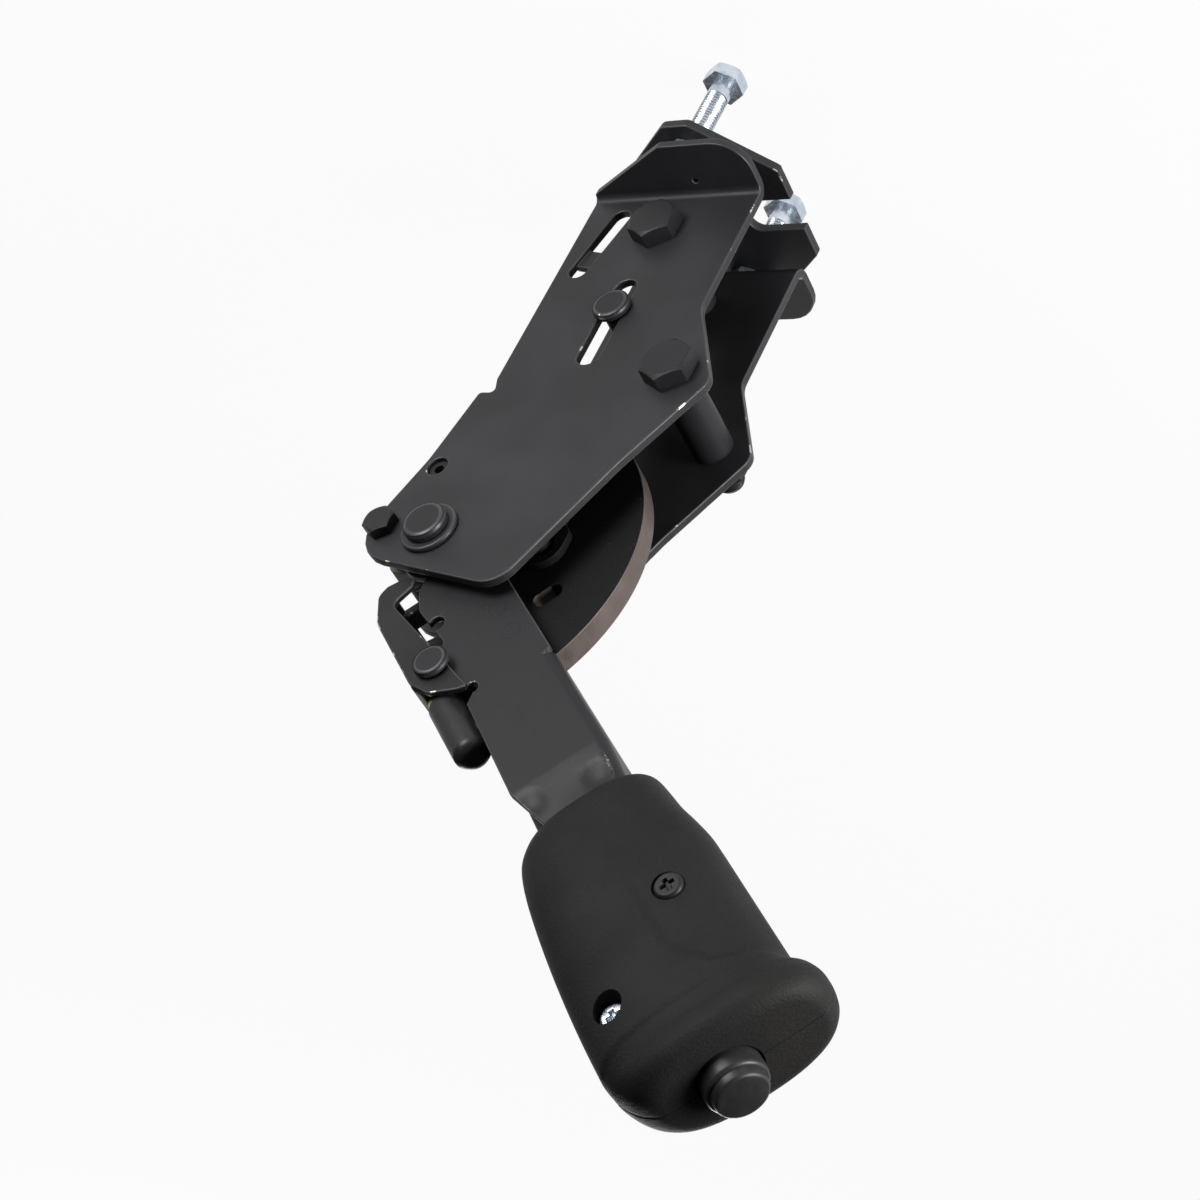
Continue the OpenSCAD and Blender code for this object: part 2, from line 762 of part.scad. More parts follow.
// One wall of the lever, seen from the side
wall_outline = rounded([
    [0, -lever_bottom, 0],
    [web_start, -lever_bottom, 2],
    [web_start + 0.5, fold_m, 0],
    [neck_start, fold_m, 0],
    [neck_start, lever_top, 0],
    [web_start + 1, lever_top - 1.8, 1],
    [web_start - 2, 14, 1],
    [62, 15, 1],
    [pawl_pos.x + ear_r, pawl_pos.y - 2, 0],
    [pawl_pos.x - ear_r, pawl_pos.y - 2, 0],
    [42, 14, 3],
    [22.5, 16, 4],
    [14.6, 13.2, 2],
    [disc_r * cos(42), disc_r * sin(42), 0],
    [0, 0, 0]
]);

// Closed outline of the channel's section, rounded along the folds
function section(half, top, bottom, r) = rounded([
    [-half, top, 0],
    [-half, -bottom, r],
    [half, -bottom, r],
    [half, top, 0]
]);

// Tapered piece between the channel's section and the tail's
module neck_form(inset, lift) {
    hull() {
        s_bar(neck_start, neck_start + 0.01)
            polygon(section(wall_out - inset, lever_top + lift, lever_bottom - inset, fold_r - inset));
        s_bar(neck_end - 0.01, neck_end)
            polygon(section(tail_out - inset, tail_top + lift, tail_bottom - inset, fold_r - inset));
    }
}

module lever_channel() {
    y0 = -wall_out - cut;
    y1 = wall_out + cut;
    dent_r = 12;
    color(dark) on_lever() difference() {
        union() {
            both_sides() {
                y_plate(wall_outline, wall_in, wall_out);
                y_cyl(disc_r, wall_in, wall_out);
                at(pawl_pos) y_cyl(ear_r, wall_in, wall_out);
            }
            s_bar(web_start, neck_start) difference() {
                polygon(section(wall_out, fold_m, lever_bottom, fold_r));
                polygon(section(wall_in, fold_m + cut, lever_bottom - lever_t, fold_r - lever_t));
            }
            difference() {
                neck_form(0, 0);
                neck_form(lever_t, 2 * lever_t);
            }
            s_bar(neck_end, lever_l) difference() {
                polygon(section(tail_out, tail_top, tail_bottom, fold_r));
                polygon(section(tail_in, tail_top + cut, tail_bottom - lever_t, fold_r - lever_t));
            }
        }
        y_cyl(bush_r + seated, y0, y1);
        at(pawl_pos) y_cyl(pawl_pin_r + seated, y0, y1);
        at([32, 13.2]) y_cyl(2.7, y0, y1);
        at([66, 13.5]) y_cyl(2, y0, y1);
        for (s = sector_rivets_at) at([s, -sector_rivet_m]) y_cyl(sector_rivet_r + seated, y0, y1);
        at(screw_front) y_cyl(screw_r + 0.4, y0, y1);
        both_sides() for (p = [[neck_start + 7, 15], [neck_start + 11, -4.5]])
            translate([p.x, wall_out - (wall_out - tail_out) * (p.x - neck_start) / (neck_end - neck_start), p.y])
            translate([0, dent_r - dent, 0]) sphere(dent_r);
    }
}

module pivot_bushes() {
    color(brass) on_lever() both_sides() difference() {
        union() {
            y_cyl(bush_r, wall_in, wall_out);
            y_cyl(bush_flange_r, wall_out, wall_out + bush_flange_t);
        }
        y_cyl(pivot_r + running, wall_in - cut, wall_out + bush_flange_t + cut);
    }
}

module sector_plate() {
    far = 2 * sector_r;
    span = sector_to - sector_from;
    wedge = [
        for (k = [0:3])
        let (a = -sector_from - span * k / 3)
        far * [cos(a), sin(a)]
    ];
    lug_end = sector_rivets_at[1] + sector_rivet_r + 3;
    lug = [
        [sector_rivets_at[0] - sector_rivet_r - 3, -14],
        [sector_rivets_at[0] - sector_rivet_r - 3, 1],
        [lug_end, 1],
        [lug_end, -14]
    ];
    oblong_half = [0, (oblong_l - oblong_w) / 2];
    y0 = -sector_y - cut;
    y1 = sector_y + cut;
    color(steel) on_lever() difference() {
        union() {
            intersection() {
                y_tube(sector_r, sector_inner_r, -sector_y, sector_y, $fn = 128);
                y_plate(concat([[0, 0]], wedge), -sector_y, sector_y);
            }
            y_plate(lug, -sector_y, sector_y);
        }
        at(eye_pos) y_cyl(eye_r, y0, y1);
        slot_bar(oblong_pos - oblong_half, oblong_pos + oblong_half, oblong_w, y0, y1);
        for (s = sector_rivets_at) at([s, -sector_rivet_m]) y_cyl(sector_rivet_r + seated, y0, y1);
        rotate([0, lever_angle, 0]) at(crank) y_cyl(crank_r + seated, y0, y1);
    }
}

module sector_rivets() {
    color(dark) on_lever() for (s = sector_rivets_at) at([s, -sector_rivet_m])
        y_cyl(sector_rivet_r, -wall_out, wall_out);
}

module sector_spacers() {
    color(dark) on_lever() for (s = sector_rivets_at) at([s, -sector_rivet_m])
        both_sides() y_tube(sector_spacer_r, sector_rivet_r + seated, sector_y, wall_in);
}

module crank_pin() {
    end = link_out + 1.2;
    color(steel) at(pivot + crank) y_cyl(crank_r, -end, end);
}

module pull_links() {
    foot = cable_pin_pos;
    head = pivot + crank;
    play = [yoke_play / 2, 0];
    yoke_mid = head - [1.25, 0];
    yoke_w = 2 * (crank_r + yoke_gap);
    half = link_w / 2;
    rim = yoke_w / 2 + 3.5;
    reach = rim + play.x;
    outline = rounded([
        corner_at(foot + [-half, -half], half - 0.1),
        corner_at(foot + [half, -half], half - 0.1),
        corner_at(yoke_mid + [half, -rim], 1),
        corner_at(yoke_mid + [reach, -rim], rim - 4),
        corner_at(yoke_mid + [reach, rim], rim - 0.2),
        corner_at(yoke_mid + [-reach, rim], rim - 0.2),
        corner_at(yoke_mid + [-reach, -rim], rim - 4),
        corner_at(yoke_mid + [-half, -rim], 1)
    ]);
    color(dark) both_sides() difference() {
        y_plate(outline, link_in, link_out);
        at(foot) y_cyl(cable_pin_r + seated, link_in - cut, link_out + cut);
        slot_bar(yoke_mid - play, yoke_mid + play, yoke_w, link_in - cut, link_out + cut);
    }
}

module cable_pin() {
    seat = outer_y + face_gap;
    color(dark) at(cable_pin_pos) {
        y_cyl(cable_pin_r, -seat - 3, seat);
        y_head(cable_head_r, seat, cable_head_h);
    }
}

module pin_clip() {
    seat = -outer_y - face_gap;
    color(zinc) at(cable_pin_pos) y_tube(cable_head_r + 0.5, cable_pin_r + seated, seat - 1.5, seat);
}

module pawl_pin() {
    seat = strap_out + face_gap;
    color(dark) on_lever() at(pawl_pos) {
        y_cyl(pawl_pin_r, -seat, seat);
        both_sides() y_head(pawl_head_r, seat, pawl_head_h);
    }
}

strap_outline = rounded([
    [6.4, 20.6, 2],
    [7.6, 13.6, 0],
    [10.4, 11.6, 0],
    [12.9, 14, 0],
    [15.1, 21.9, 3],
    [39.6, 18.2, 0],
    [66.5, 14.2, 0.8],
    [65.8, 17, 0],
    [60, 25.6, 4],
    [51.8, strap_top, 6],
    [19.2, strap_top, 6],
    [8, strap_top - 4.5, 4]
]);

// Folded strap: two cheeks, a back, a nose bar and a tongue inside the lever
module pawl() {
    back = [
        [7.4, 21],
        [8.6, strap_top - 4.6],
        [19.2, strap_top],
        [53, strap_top],
        [tongue_face, strap_top - 1.6],
        [tongue_face, strap_top - 3.6],
        [53, strap_top - strap_t],
        [19.6, strap_top - strap_t],
        [10.6, strap_top - 6],
        [9.6, 20]
    ];
    nose = [[7.2, 22], [7.2, 13.8], [10.4, 11.6], [12.4, 13.2], [10.6, 15.6], [10.6, 22]];
    tongue_tip = rod_m - 3;
    color(dark) on_lever() difference() {
        union() {
            both_sides() y_plate(strap_outline, strap_in, strap_out);
            y_plate(back, -strap_in, strap_in);
            y_plate(nose, -nose_half_w, nose_half_w);
            translate([tongue_at, -tongue_half_w, tongue_tip])
                cube([tongue_t, 2 * tongue_half_w, strap_top - 2.6 - tongue_tip]);
        }
        at(pawl_pos) y_cyl(pawl_pin_r + running, -strap_out - cut, strap_out + cut);
    }
}

// Cross wall in the channel: bore for the rod, cradle for the spring sleeve
module rod_guide() {
    base = lever_t - lever_bottom;
    half = wall_in - seated;
    s0 = guide_at - cut;
    s1 = guide_at + guide_t + cut;
    color(dark) on_lever() difference() {
        s_bar(guide_at, guide_at + guide_t) polygon(section(half, lever_top, -base, fold_r - lever_t));
        translate([0, 0, rod_m]) s_cyl(rod_r + running, s0, s1);
        translate([0, plunger_y, plunger_m]) s_cyl(sleeve_r + seated, s0, s1);
    }
}

module spring_sleeve() {
    color(black) on_lever() translate([0, plunger_y, plunger_m]) difference() {
        translate([sleeve_start, 0, 0]) rotate([0, 90, 0]) rotate_extrude() polygon(rounded([
            [0, 0, 0],
            [sleeve_r, 0, 0],
            [sleeve_r, spring_sleeve_l, 3.5],
            [0, spring_sleeve_l, 0]
        ]));
        s_cyl(sleeve_bore, sleeve_start - cut, sleeve_floor);
    }
}

module pawl_plunger() {
    color(brass) on_lever() translate([0, plunger_y, plunger_m]) s_cyl(plunger_r, plunger_start, plunger_end);
}

module plunger_spring() {
    color(steel) on_lever() translate([plunger_end, plunger_y, plunger_m])
        coil(plunger_r - wire_r - 0.4, wire_r, 5, sleeve_floor - plunger_end);
}

module release_rod() {
    tip = plunger_start + rod_r;
    color(steel) on_lever() translate([0, 0, rod_m]) {
        translate([tip, 0, 0]) sphere(rod_r);
        s_cyl(rod_r, tip, flange_start);
    }
}

module push_button() {
    color(black) on_lever() translate([0, 0, rod_m]) {
        s_cyl(button_flange_r, flange_start, flange_start + button_flange_l);
        s_cyl(button_r, flange_start, button_end - 3);
        s_cyl(button_face_r, flange_start, button_end - 0.6);
        translate([button_end - 0.6, 0, 0]) rotate([0, 90, 0])
            cylinder(r1 = button_face_r, r2 = button_face_r - 0.6, h = 0.6);
    }
}

module button_spring() {
    color(steel) on_lever() translate([chamber_start, 0, rod_m])
        coil(rod_r + wire_r + 2, wire_r, 4, flange_start - chamber_start);
}

// Sections of the grip: along, palm height, finger depth, half width
guard_at = grip_l - guard_l;
grip_rows = concat(
    [
        [0, mouth_h - 6, mouth_d - 2, grip_half_w - 4],
        [0.7, mouth_h - 4, mouth_d - 1.1, grip_half_w - 2.9],
        [2, mouth_h - 2.5, mouth_d - 0.5, grip_half_w - 2.2]
    ],
    [
        for (i = [0:9])
        let (t = i / 9, rise = pow(sin(90 * t), 0.7), u = max(0, min(1, t / 0.36)))
        [
            6 + (guard_at - 6) * t,
            mouth_h + (palm_h - mouth_h) * rise,
            mouth_d + (finger_d - mouth_d) * u * u * (3 - 2 * u),
            grip_half_w - 1 + min(1, 4 * t)
        ]
    ],
    [
        [guard_at + 2.5, palm_h - 0.4, guard_d - 3.3, guard_half_w - 0.6],
        [guard_at + 5.5, palm_h - 0.9, guard_d - 0.9, guard_half_w - 0.2],
        [grip_l - 8, palm_h - 2.2, guard_d, guard_half_w],
        [grip_l - 5, palm_h - 3.9, guard_d - 0.5, guard_half_w - 0.5],
        [grip_l - 2, palm_h - 6.9, guard_d - 2.5, guard_half_w - 2],
        [grip_l - 0.6, palm_h - 9, guard_d - 4.4, guard_half_w - 3.5],
        [grip_l, palm_h - 10.9, guard_d - 6, guard_half_w - 5]
    ]
);

function grip_section(row, sides) = [
    for (k = [0:sides - 1])
    let (c = cos(360 * k / sides), s = sin(360 * k / sides), e = 0.77)
    let (mid = (row[1] - row[2]) / 2, half = (row[1] + row[2]) / 2)
    [grip_start + row[0], row[3] * sign(c) * pow(abs(c), e), mid + half * sign(s) * pow(abs(s), e)]
];

// Moulded outside of the grip, skinned from section to section
module grip_form() {
    sides = 40;
    n = len(grip_rows);
    skin = [
        for (i = [0:n - 2], k = [0:sides - 1])
        let (p = i * sides + k, q = i * sides + (k + 1) % sides)
        each [[p, q + sides, q], [p, p + sides, q + sides]]
    ];
    caps = [[for (k = [0:sides - 1]) k], [for (k = [sides - 1:-1:0]) (n - 1) * sides + k]];
    polyhedron([for (row = grip_rows) each grip_section(row, sides)], concat(skin, caps));
}

// One half of the grip: side is 1 near the eye, 0 beyond the parting plane
module grip_half(side) {
    big = 60;
    pocket = tail_out + pocket_gap;
    difference() {
        intersection() {
            grip_form();
            translate([grip_start - cut, big * (side - 1), -big]) cube([grip_l + 2 * cut, big, 2 * big]);
        }
        translate([grip_start - cut, -pocket, -tail_bottom - pocket_gap])
            cube([lever_l - grip_start + cut + 0.5, 2 * pocket, tail_top + tail_bottom + 2 * pocket_gap]);
        translate([0, 0, rod_m]) {
            s_cyl(rod_r + face_gap, lever_l, chamber_start + cut);
            s_cyl(button_flange_r + face_gap, chamber_start, button_seat);
            s_cyl(button_r + running, button_seat - cut, grip_end + cut);
        }
        for (screw = [[screw_front, front_seat], [screw_end, end_seat]]) at(screw[0]) {
            y_cyl(screw_r + seated, -screw_bottom - 0.5, screw[1] + cut);
            y_cyl(screw_head_r + face_gap, screw[1], big);
        }
    }
}

module grip_near_half() {
    color(black) on_lever() grip_half(1);
}

module grip_far_half() {
    color(black) on_lever() grip_half(0);
}

module grip_screw(seat) {
    arm = screw_head_r * 0.5;
    y_cyl(screw_r, -screw_bottom, seat);
    difference() {
        y_head(screw_head_r, seat, screw_head_h);
        for (a = [0, 90]) rotate([0, a, 0])
            translate([-arm, seat + screw_head_h - 1.3, -0.6]) cube([2 * arm, 2, 1.2]);
    }
}

module front_grip_screw() {
    color(dark) on_lever() at(screw_front) grip_screw(front_seat);
}

module end_grip_screw() {
    color(zinc) on_lever() at(screw_end) grip_screw(end_seat);
}

near_side_plate();
far_side_plate();
clamp_plate();
clamp_bolts();
weld_nuts();
lower_bolt();
lower_nut();
lower_spacer();
upper_bolt();
upper_nut();
upper_spacer();
pivot_pin();
pivot_washers();
pivot_retainer();
thrust_washers();
pivot_spacers();
ratchet_plate();
ratchet_rivet();
ratchet_sleeves();
corner_bolt();
corner_nut();
lever_channel();
pivot_bushes();
sector_plate();
sector_rivets();
sector_spacers();
crank_pin();
pull_links();
cable_pin();
pin_clip();
pawl_pin();
pawl();
rod_guide();
spring_sleeve();
pawl_plunger();
plunger_spring();
release_rod();
push_button();
button_spring();
grip_near_half();
grip_far_half();
front_grip_screw();
end_grip_screw();
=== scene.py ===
"""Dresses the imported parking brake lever: rounded sheet-metal edges, threaded fasteners,
a moulded grip, and finishes for coated steel, zinc, bare steel, brass and grained plastic."""

import math
from collections import namedtuple

import bmesh
import bpy
import numpy as np
from bpy.props import FloatProperty, FloatVectorProperty, IntProperty, PointerProperty
from mathutils import Matrix, Vector
from mathutils.bvhtree import BVHTree


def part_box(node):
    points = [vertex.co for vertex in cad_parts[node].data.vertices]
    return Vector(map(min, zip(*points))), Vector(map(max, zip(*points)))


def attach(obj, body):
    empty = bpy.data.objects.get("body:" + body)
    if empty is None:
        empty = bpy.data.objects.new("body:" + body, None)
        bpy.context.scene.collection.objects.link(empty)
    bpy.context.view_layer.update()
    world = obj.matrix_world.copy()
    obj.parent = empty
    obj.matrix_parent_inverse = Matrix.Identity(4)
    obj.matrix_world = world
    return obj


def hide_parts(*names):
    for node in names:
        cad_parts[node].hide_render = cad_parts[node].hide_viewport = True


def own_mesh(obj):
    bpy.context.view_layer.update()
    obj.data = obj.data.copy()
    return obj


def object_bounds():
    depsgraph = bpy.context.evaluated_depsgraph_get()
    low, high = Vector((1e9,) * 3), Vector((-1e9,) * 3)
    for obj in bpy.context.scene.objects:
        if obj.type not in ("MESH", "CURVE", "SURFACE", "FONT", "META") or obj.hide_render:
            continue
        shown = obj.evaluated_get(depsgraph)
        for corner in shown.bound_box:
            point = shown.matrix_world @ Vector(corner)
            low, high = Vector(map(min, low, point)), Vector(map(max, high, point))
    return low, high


bl_info = {
    "name": "Parking brake lever",
    "version": (1, 0, 0),
    "blender": (4, 5, 0),
    "location": "View3D > Sidebar > Brake lever",
    "description": "Builds the finished pieces of a ratchet parking brake lever round its CAD frame",
    "category": "Object",
}

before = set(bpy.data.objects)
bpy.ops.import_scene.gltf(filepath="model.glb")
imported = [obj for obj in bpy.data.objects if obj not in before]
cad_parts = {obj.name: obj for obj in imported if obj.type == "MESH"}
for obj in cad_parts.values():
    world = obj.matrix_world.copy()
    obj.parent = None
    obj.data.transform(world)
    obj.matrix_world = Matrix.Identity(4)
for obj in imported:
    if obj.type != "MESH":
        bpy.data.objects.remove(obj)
CAD_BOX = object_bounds()

MM = 0.001
PIVOT = Vector((-29, 0, 155)) * MM
LEVER_ANGLE = math.radians(42)
LEVER_DIR = Vector((math.cos(LEVER_ANGLE), 0, math.sin(LEVER_ANGLE)))
ON_LEVER = Matrix.Translation(PIVOT) @ Matrix.Rotation(-LEVER_ANGLE, 4, "Y")
# Outer faces of the side plates
SEAT = 19 * MM


def linear(code):
    """Turns an sRGB hex colour into the linear values that Blender's sockets take."""
    parts = [int(code[i : i + 2], 16) / 255 for i in (1, 3, 5)]
    return tuple(p / 12.92 if p <= 0.04045 else ((p + 0.055) / 1.055) ** 2.4 for p in parts)


def colour(code, name, text):
    """A colour setting for the panel."""
    return FloatVectorProperty(
        name=name, description=text, subtype="COLOR", size=3, min=0, max=1, default=linear(code)
    )


def length(mm, name, text):
    """A length setting for the panel, given here in millimetres."""
    return FloatProperty(name=name, description=text, unit="LENGTH", min=0, precision=5, default=mm * MM)


class BrakeFinish(bpy.types.PropertyGroup):
    """Colours of the lever's finishes"""

    coat: colour("#1c1c1e", "Black coat", "Dip coat on the plates and most bolts")
    coat_pale: colour("#27272a", "Rubbed coat", "The same coat where hands and dust have greyed it")
    oiled: colour("#0d0d0e", "Near black and painted shade", "Near black, darker than the coat: partly painted shade on the sector plate's faces")
    # Near black, darker than the coat: partly the parts' own black and partly painted shade on the sector
    # plate's faces and the parts between the plates; also the dark colour in the darker coat mix of the pawl
    # and the front screw
    chip: colour("#c9c3b8", "Chipped edge", "Bare steel where the coat is knocked off an edge")
    zinc: colour("#aeb9c6", "Zinc", "Bright zinc plate on the clamp bolts")
    steel: colour("#544a46", "Bare steel", "Oiled, browned steel of the sector's rim and the ratchet")
    brass: colour("#b59c62", "Brass", "Turned plunger and pivot bushes")
    grip: colour("#121212", "Grip", "Grained plastic of the grip")
    button: colour("#1d1d1e", "Button", "Smooth plastic of the push button and the spring sleeve")


class BrakeSize(bpy.types.PropertyGroup):
    """Sizes of what the finished pieces add to the CAD solids"""

    sheet_edge: length(0.45, "Sheet edge", "Rounding along the edges of stamped plates")
    part_edge: length(0.3, "Part edge", "Rounding along the edges of turned and cut parts")
    head_edge: length(0.8, "Head edge", "Rounding of pin and rivet heads")
    grain: length(0.75, "Grip grain", "Size of one bump of the grip's grain")
    scoop: length(1.6, "Finger scoop", "Depth of the scoop in the sides of the grip")
    seam: length(0.3, "Grip seam", "Depth of the groove between the grip's halves")
    coarse_pitch: length(1.25, "Clamp bolt thread", "Thread pitch of the clamp bolts")
    cross_pitch: length(1.5, "Cross bolt thread", "Thread pitch of the cross bolts")
    corner_pitch: length(1.0, "Corner bolt thread", "Thread pitch of the corner bolt")
    wire: length(0.6, "Spring wire", "Radius of the wire of both springs")
    coil_points: IntProperty(
        name="Coil points", description="Points in one turn of a spring", min=8, max=64, default=28
    )


class BrakeStage(bpy.types.PropertyGroup):
    """Camera and light"""

    azimuth: FloatProperty(name="Azimuth", description="Camera round the lever", default=49.39)
    elevation: FloatProperty(name="Elevation", description="Camera above the lever", default=31.51)
    roll: FloatProperty(name="Roll", description="Camera about its own axis", default=206.78)
    distance: length(783.35, "Distance", "Camera from the lever's pivot")
    shift: FloatVectorProperty(
        name="Shift", description="Camera right and up, in millimetres", size=2, default=(45.21, -9.46)
    )
    lens: FloatProperty(name="Lens", description="Focal length for a 36 mm frame, in mm", default=74.4)
    key: FloatProperty(name="Key light", description="Power of the large soft light", default=9.3)
    fill: FloatProperty(name="Fill light", description="Power of the low light from the front", default=16.0)
    back: FloatProperty(name="Back light", description="Power of the distant light behind", default=34.0)
    room: FloatProperty(name="Room light", description="Strength of the even light all round", default=0.055)


def settings():
    """The three groups of settings of this scene."""
    scene = bpy.context.scene
    return scene.brake_finish, scene.brake_size, scene.brake_stage


# Shader nodes


def feed(tree, made, links):
    """Feeds a node's inputs, each with a value, a socket, or a node's first live output."""
    for name, value in links.items():
        target = next(s for s in made.inputs if s.enabled and name in (s.name, s.identifier))
        if isinstance(value, bpy.types.Node):
            value = next(s for s in value.outputs if s.enabled)
        if isinstance(value, bpy.types.NodeSocket):
            tree.links.new(value, target)
        else:
            target.default_value = value


def add(tree, kind, links=None, **options):
    """Adds one node: options are its properties, links its inputs."""
    made = tree.nodes.new(kind)
    for name, value in options.items():
        setattr(made, name, value)
    feed(tree, made, links or {})
    return made


def new_material(name):
    """An empty material with its shader, output and object coordinates."""
    made = bpy.data.materials.new(name)
    made.use_nodes = True
    tree = made.node_tree
    tree.nodes.clear()
    shader = add(tree, "ShaderNodeBsdfPrincipled")
    add(tree, "ShaderNodeOutputMaterial", {"Surface": shader})
    return made, tree, shader, add(tree, "ShaderNodeTexCoord").outputs["Object"]


def surface(tree, shader, tint, gloss, more):
    """Gives a shader its mixed colour, its range of roughness and its other inputs."""
    mixed = add(tree, "ShaderNodeMix", tint, data_type="RGBA")
    rough = add(tree, "ShaderNodeMapRange", gloss)
    feed(tree, shader, {"Base Color": mixed, "Roughness": rough, **more})


def per_metre(mm):
    """Noise scale whose features are about this many millimetres wide."""
    return 1 / (mm * MM)


def rgba(value):
    """A linear colour with full alpha, as colour sockets take it."""
    return (*value, 1)


def dip_coat(name, dark, pale, rough, shine):
    """Electro-dipped black coat on steel: a satin skin with a faint orange peel, greyed in
    soft patches by handling, with fine dust that catches the light."""
    made, tree, shader, coords = new_material(name)
    cloud = add(tree, "ShaderNodeTexNoise", {"Vector": coords, "Scale": per_metre(38), "Detail": 4.0})
    patch = add(tree, "ShaderNodeMapRange", {"Value": cloud, "From Min": 0.38, "From Max": 0.68})
    body = add(tree, "ShaderNodeMix", {"Factor": patch, "A": rgba(dark), "B": rgba(pale)}, data_type="RGBA")
    # Real dust is finer; it is drawn as coarse as it needs to show
    specks = add(tree, "ShaderNodeTexNoise", {"Vector": coords, "Scale": per_metre(0.9), "Detail": 2.0})
    dust = {"Value": specks, "From Min": 0.68, "From Max": 0.78, "To Max": 0.25}
    dust = add(tree, "ShaderNodeMapRange", dust)
    tint = {"Factor": dust, "A": body, "B": rgba(linear("#565557"))}
    wear = add(tree, "ShaderNodeTexNoise", {"Vector": coords, "Scale": per_metre(14), "Detail": 4.0})
    gloss = {"Value": wear, "From Min": 0.3, "From Max": 0.7, "To Min": rough[0], "To Max": rough[1]}
    peel = add(tree, "ShaderNodeTexNoise", {"Vector": coords, "Scale": per_metre(1.6)})
    bump = add(tree, "ShaderNodeBump", {"Height": peel, "Distance": 0.02 * MM, "Strength": 0.6})
    surface(tree, shader, tint, gloss, {"Specular IOR Level": shine, "Normal": bump})
    return made


def worn_edge(name, dark, bare, share):
    """The coat along an edge: thin and rubbed grey, chipped to bright steel here and there,
    most of all at the front where the lever is handled in and out."""
    made, tree, shader, coords = new_material(name)
    flakes = {"Vector": coords, "Scale": per_metre(9), "Detail": 5.0, "Roughness": 0.65}
    flakes = add(tree, "ShaderNodeTexNoise", flakes)
    ahead = add(tree, "ShaderNodeSeparateXYZ", {"Vector": coords})
    knock = {"Value": ahead, "From Min": 10 * MM, "From Max": 38 * MM, "To Max": 0.055}
    knock = add(tree, "ShaderNodeMapRange", knock)
    flakes = add(tree, "ShaderNodeMath", {"Value": flakes, "Value_001": knock}, operation="ADD")
    chip = add(tree, "ShaderNodeMapRange", {"Value": flakes, "From Min": share, "From Max": share + 0.03})
    hands = add(tree, "ShaderNodeTexNoise", {"Vector": coords, "Scale": per_metre(22), "Detail": 3.0})
    rub = add(tree, "ShaderNodeMapRange", {"Value": hands, "From Min": 0.35, "From Max": 0.7})
    coat = {"Factor": rub, "A": rgba(dark), "B": rgba(linear("#353538"))}
    coat = add(tree, "ShaderNodeMix", coat, data_type="RGBA")
    scuff = add(tree, "ShaderNodeTexNoise", {"Vector": coords, "Scale": per_metre(3), "Detail": 3.0})
    gloss = {"Value": scuff, "From Min": 0.3, "From Max": 0.7, "To Min": 0.34, "To Max": 0.5}
    tint = {"Factor": chip, "A": coat, "B": rgba(bare)}
    surface(tree, shader, tint, gloss, {"Metallic": chip, "Specular IOR Level": 0.35})
    return made


def zinc_plate(name, pale):
    """Bright zinc plate with a clear blue passivate: bluish white, cloudy in patches."""
    made, tree, shader, coords = new_material(name)
    fog = add(tree, "ShaderNodeTexNoise", {"Vector": coords, "Scale": per_metre(5), "Detail": 4.0})
    cloud = add(tree, "ShaderNodeMapRange", {"Value": fog, "From Min": 0.35, "From Max": 0.7})
    tint = {"Factor": cloud, "A": rgba(pale), "B": rgba(linear("#d3dae2"))}
    scuff = add(tree, "ShaderNodeTexNoise", {"Vector": coords, "Scale": per_metre(2.2), "Detail": 3.0})
    gloss = {"Value": scuff, "From Min": 0.3, "From Max": 0.7, "To Min": 0.2, "To Max": 0.36}
    grit = add(tree, "ShaderNodeTexNoise", {"Vector": coords, "Scale": per_metre(0.8)})
    bump = add(tree, "ShaderNodeBump", {"Height": grit, "Distance": 0.02 * MM, "Strength": 0.5})
    surface(tree, shader, tint, gloss, {"Metallic": 0.9, "Normal": bump})
    return made


def browned_steel(name, bare):
    """Sawn mild steel under a film of oil: brown-grey, dull, streaked by the cutter across its rim."""
    made, tree, shader, coords = new_material(name)
    oil = {"Vector": coords, "Scale": per_metre(7), "Detail": 5.0, "Roughness": 0.65}
    oil = add(tree, "ShaderNodeTexNoise", oil)
    stain = add(tree, "ShaderNodeMapRange", {"Value": oil, "From Min": 0.35, "From Max": 0.75, "To Max": 0.6})
    tint = {"Factor": stain, "A": rgba(bare), "B": rgba(linear("#403936"))}
    # Saw marks are finer too, and are drawn across the rim at a width that shows
    streak = add(tree, "ShaderNodeMapping", {"Vector": coords, "Scale": (1.0, 0.06, 1.0)})
    saw = add(tree, "ShaderNodeTexNoise", {"Vector": streak, "Scale": per_metre(0.7)})
    wear = add(tree, "ShaderNodeTexNoise", {"Vector": coords, "Scale": per_metre(4), "Detail": 3.0})
    gloss = {"Value": wear, "From Min": 0.3, "From Max": 0.7, "To Min": 0.42, "To Max": 0.6}
    bump = add(tree, "ShaderNodeBump", {"Height": saw, "Distance": 0.04 * MM, "Strength": 0.7})
    surface(tree, shader, tint, gloss, {"Metallic": 0.6, "Normal": bump})
    return made


def turned_brass(name, bare):
    """Turned brass: warm and bright, with fine scuffs and a light tarnish."""
    made, tree, shader, coords = new_material(name)
    spots = add(tree, "ShaderNodeTexNoise", {"Vector": coords, "Scale": per_metre(3), "Detail": 4.0})
    tarnish = add(tree, "ShaderNodeMapRange", {"Value": spots, "From Min": 0.4, "From Max": 0.7})
    tint = {"Factor": tarnish, "A": rgba(bare), "B": rgba(linear("#8a7a58"))}
    scuff = add(tree, "ShaderNodeTexNoise", {"Vector": coords, "Scale": per_metre(1.2), "Detail": 3.0})
    gloss = {"Value": scuff, "From Min": 0.3, "From Max": 0.7, "To Min": 0.24, "To Max": 0.42}
    surface(tree, shader, tint, gloss, {"Metallic": 1.0})
    return made


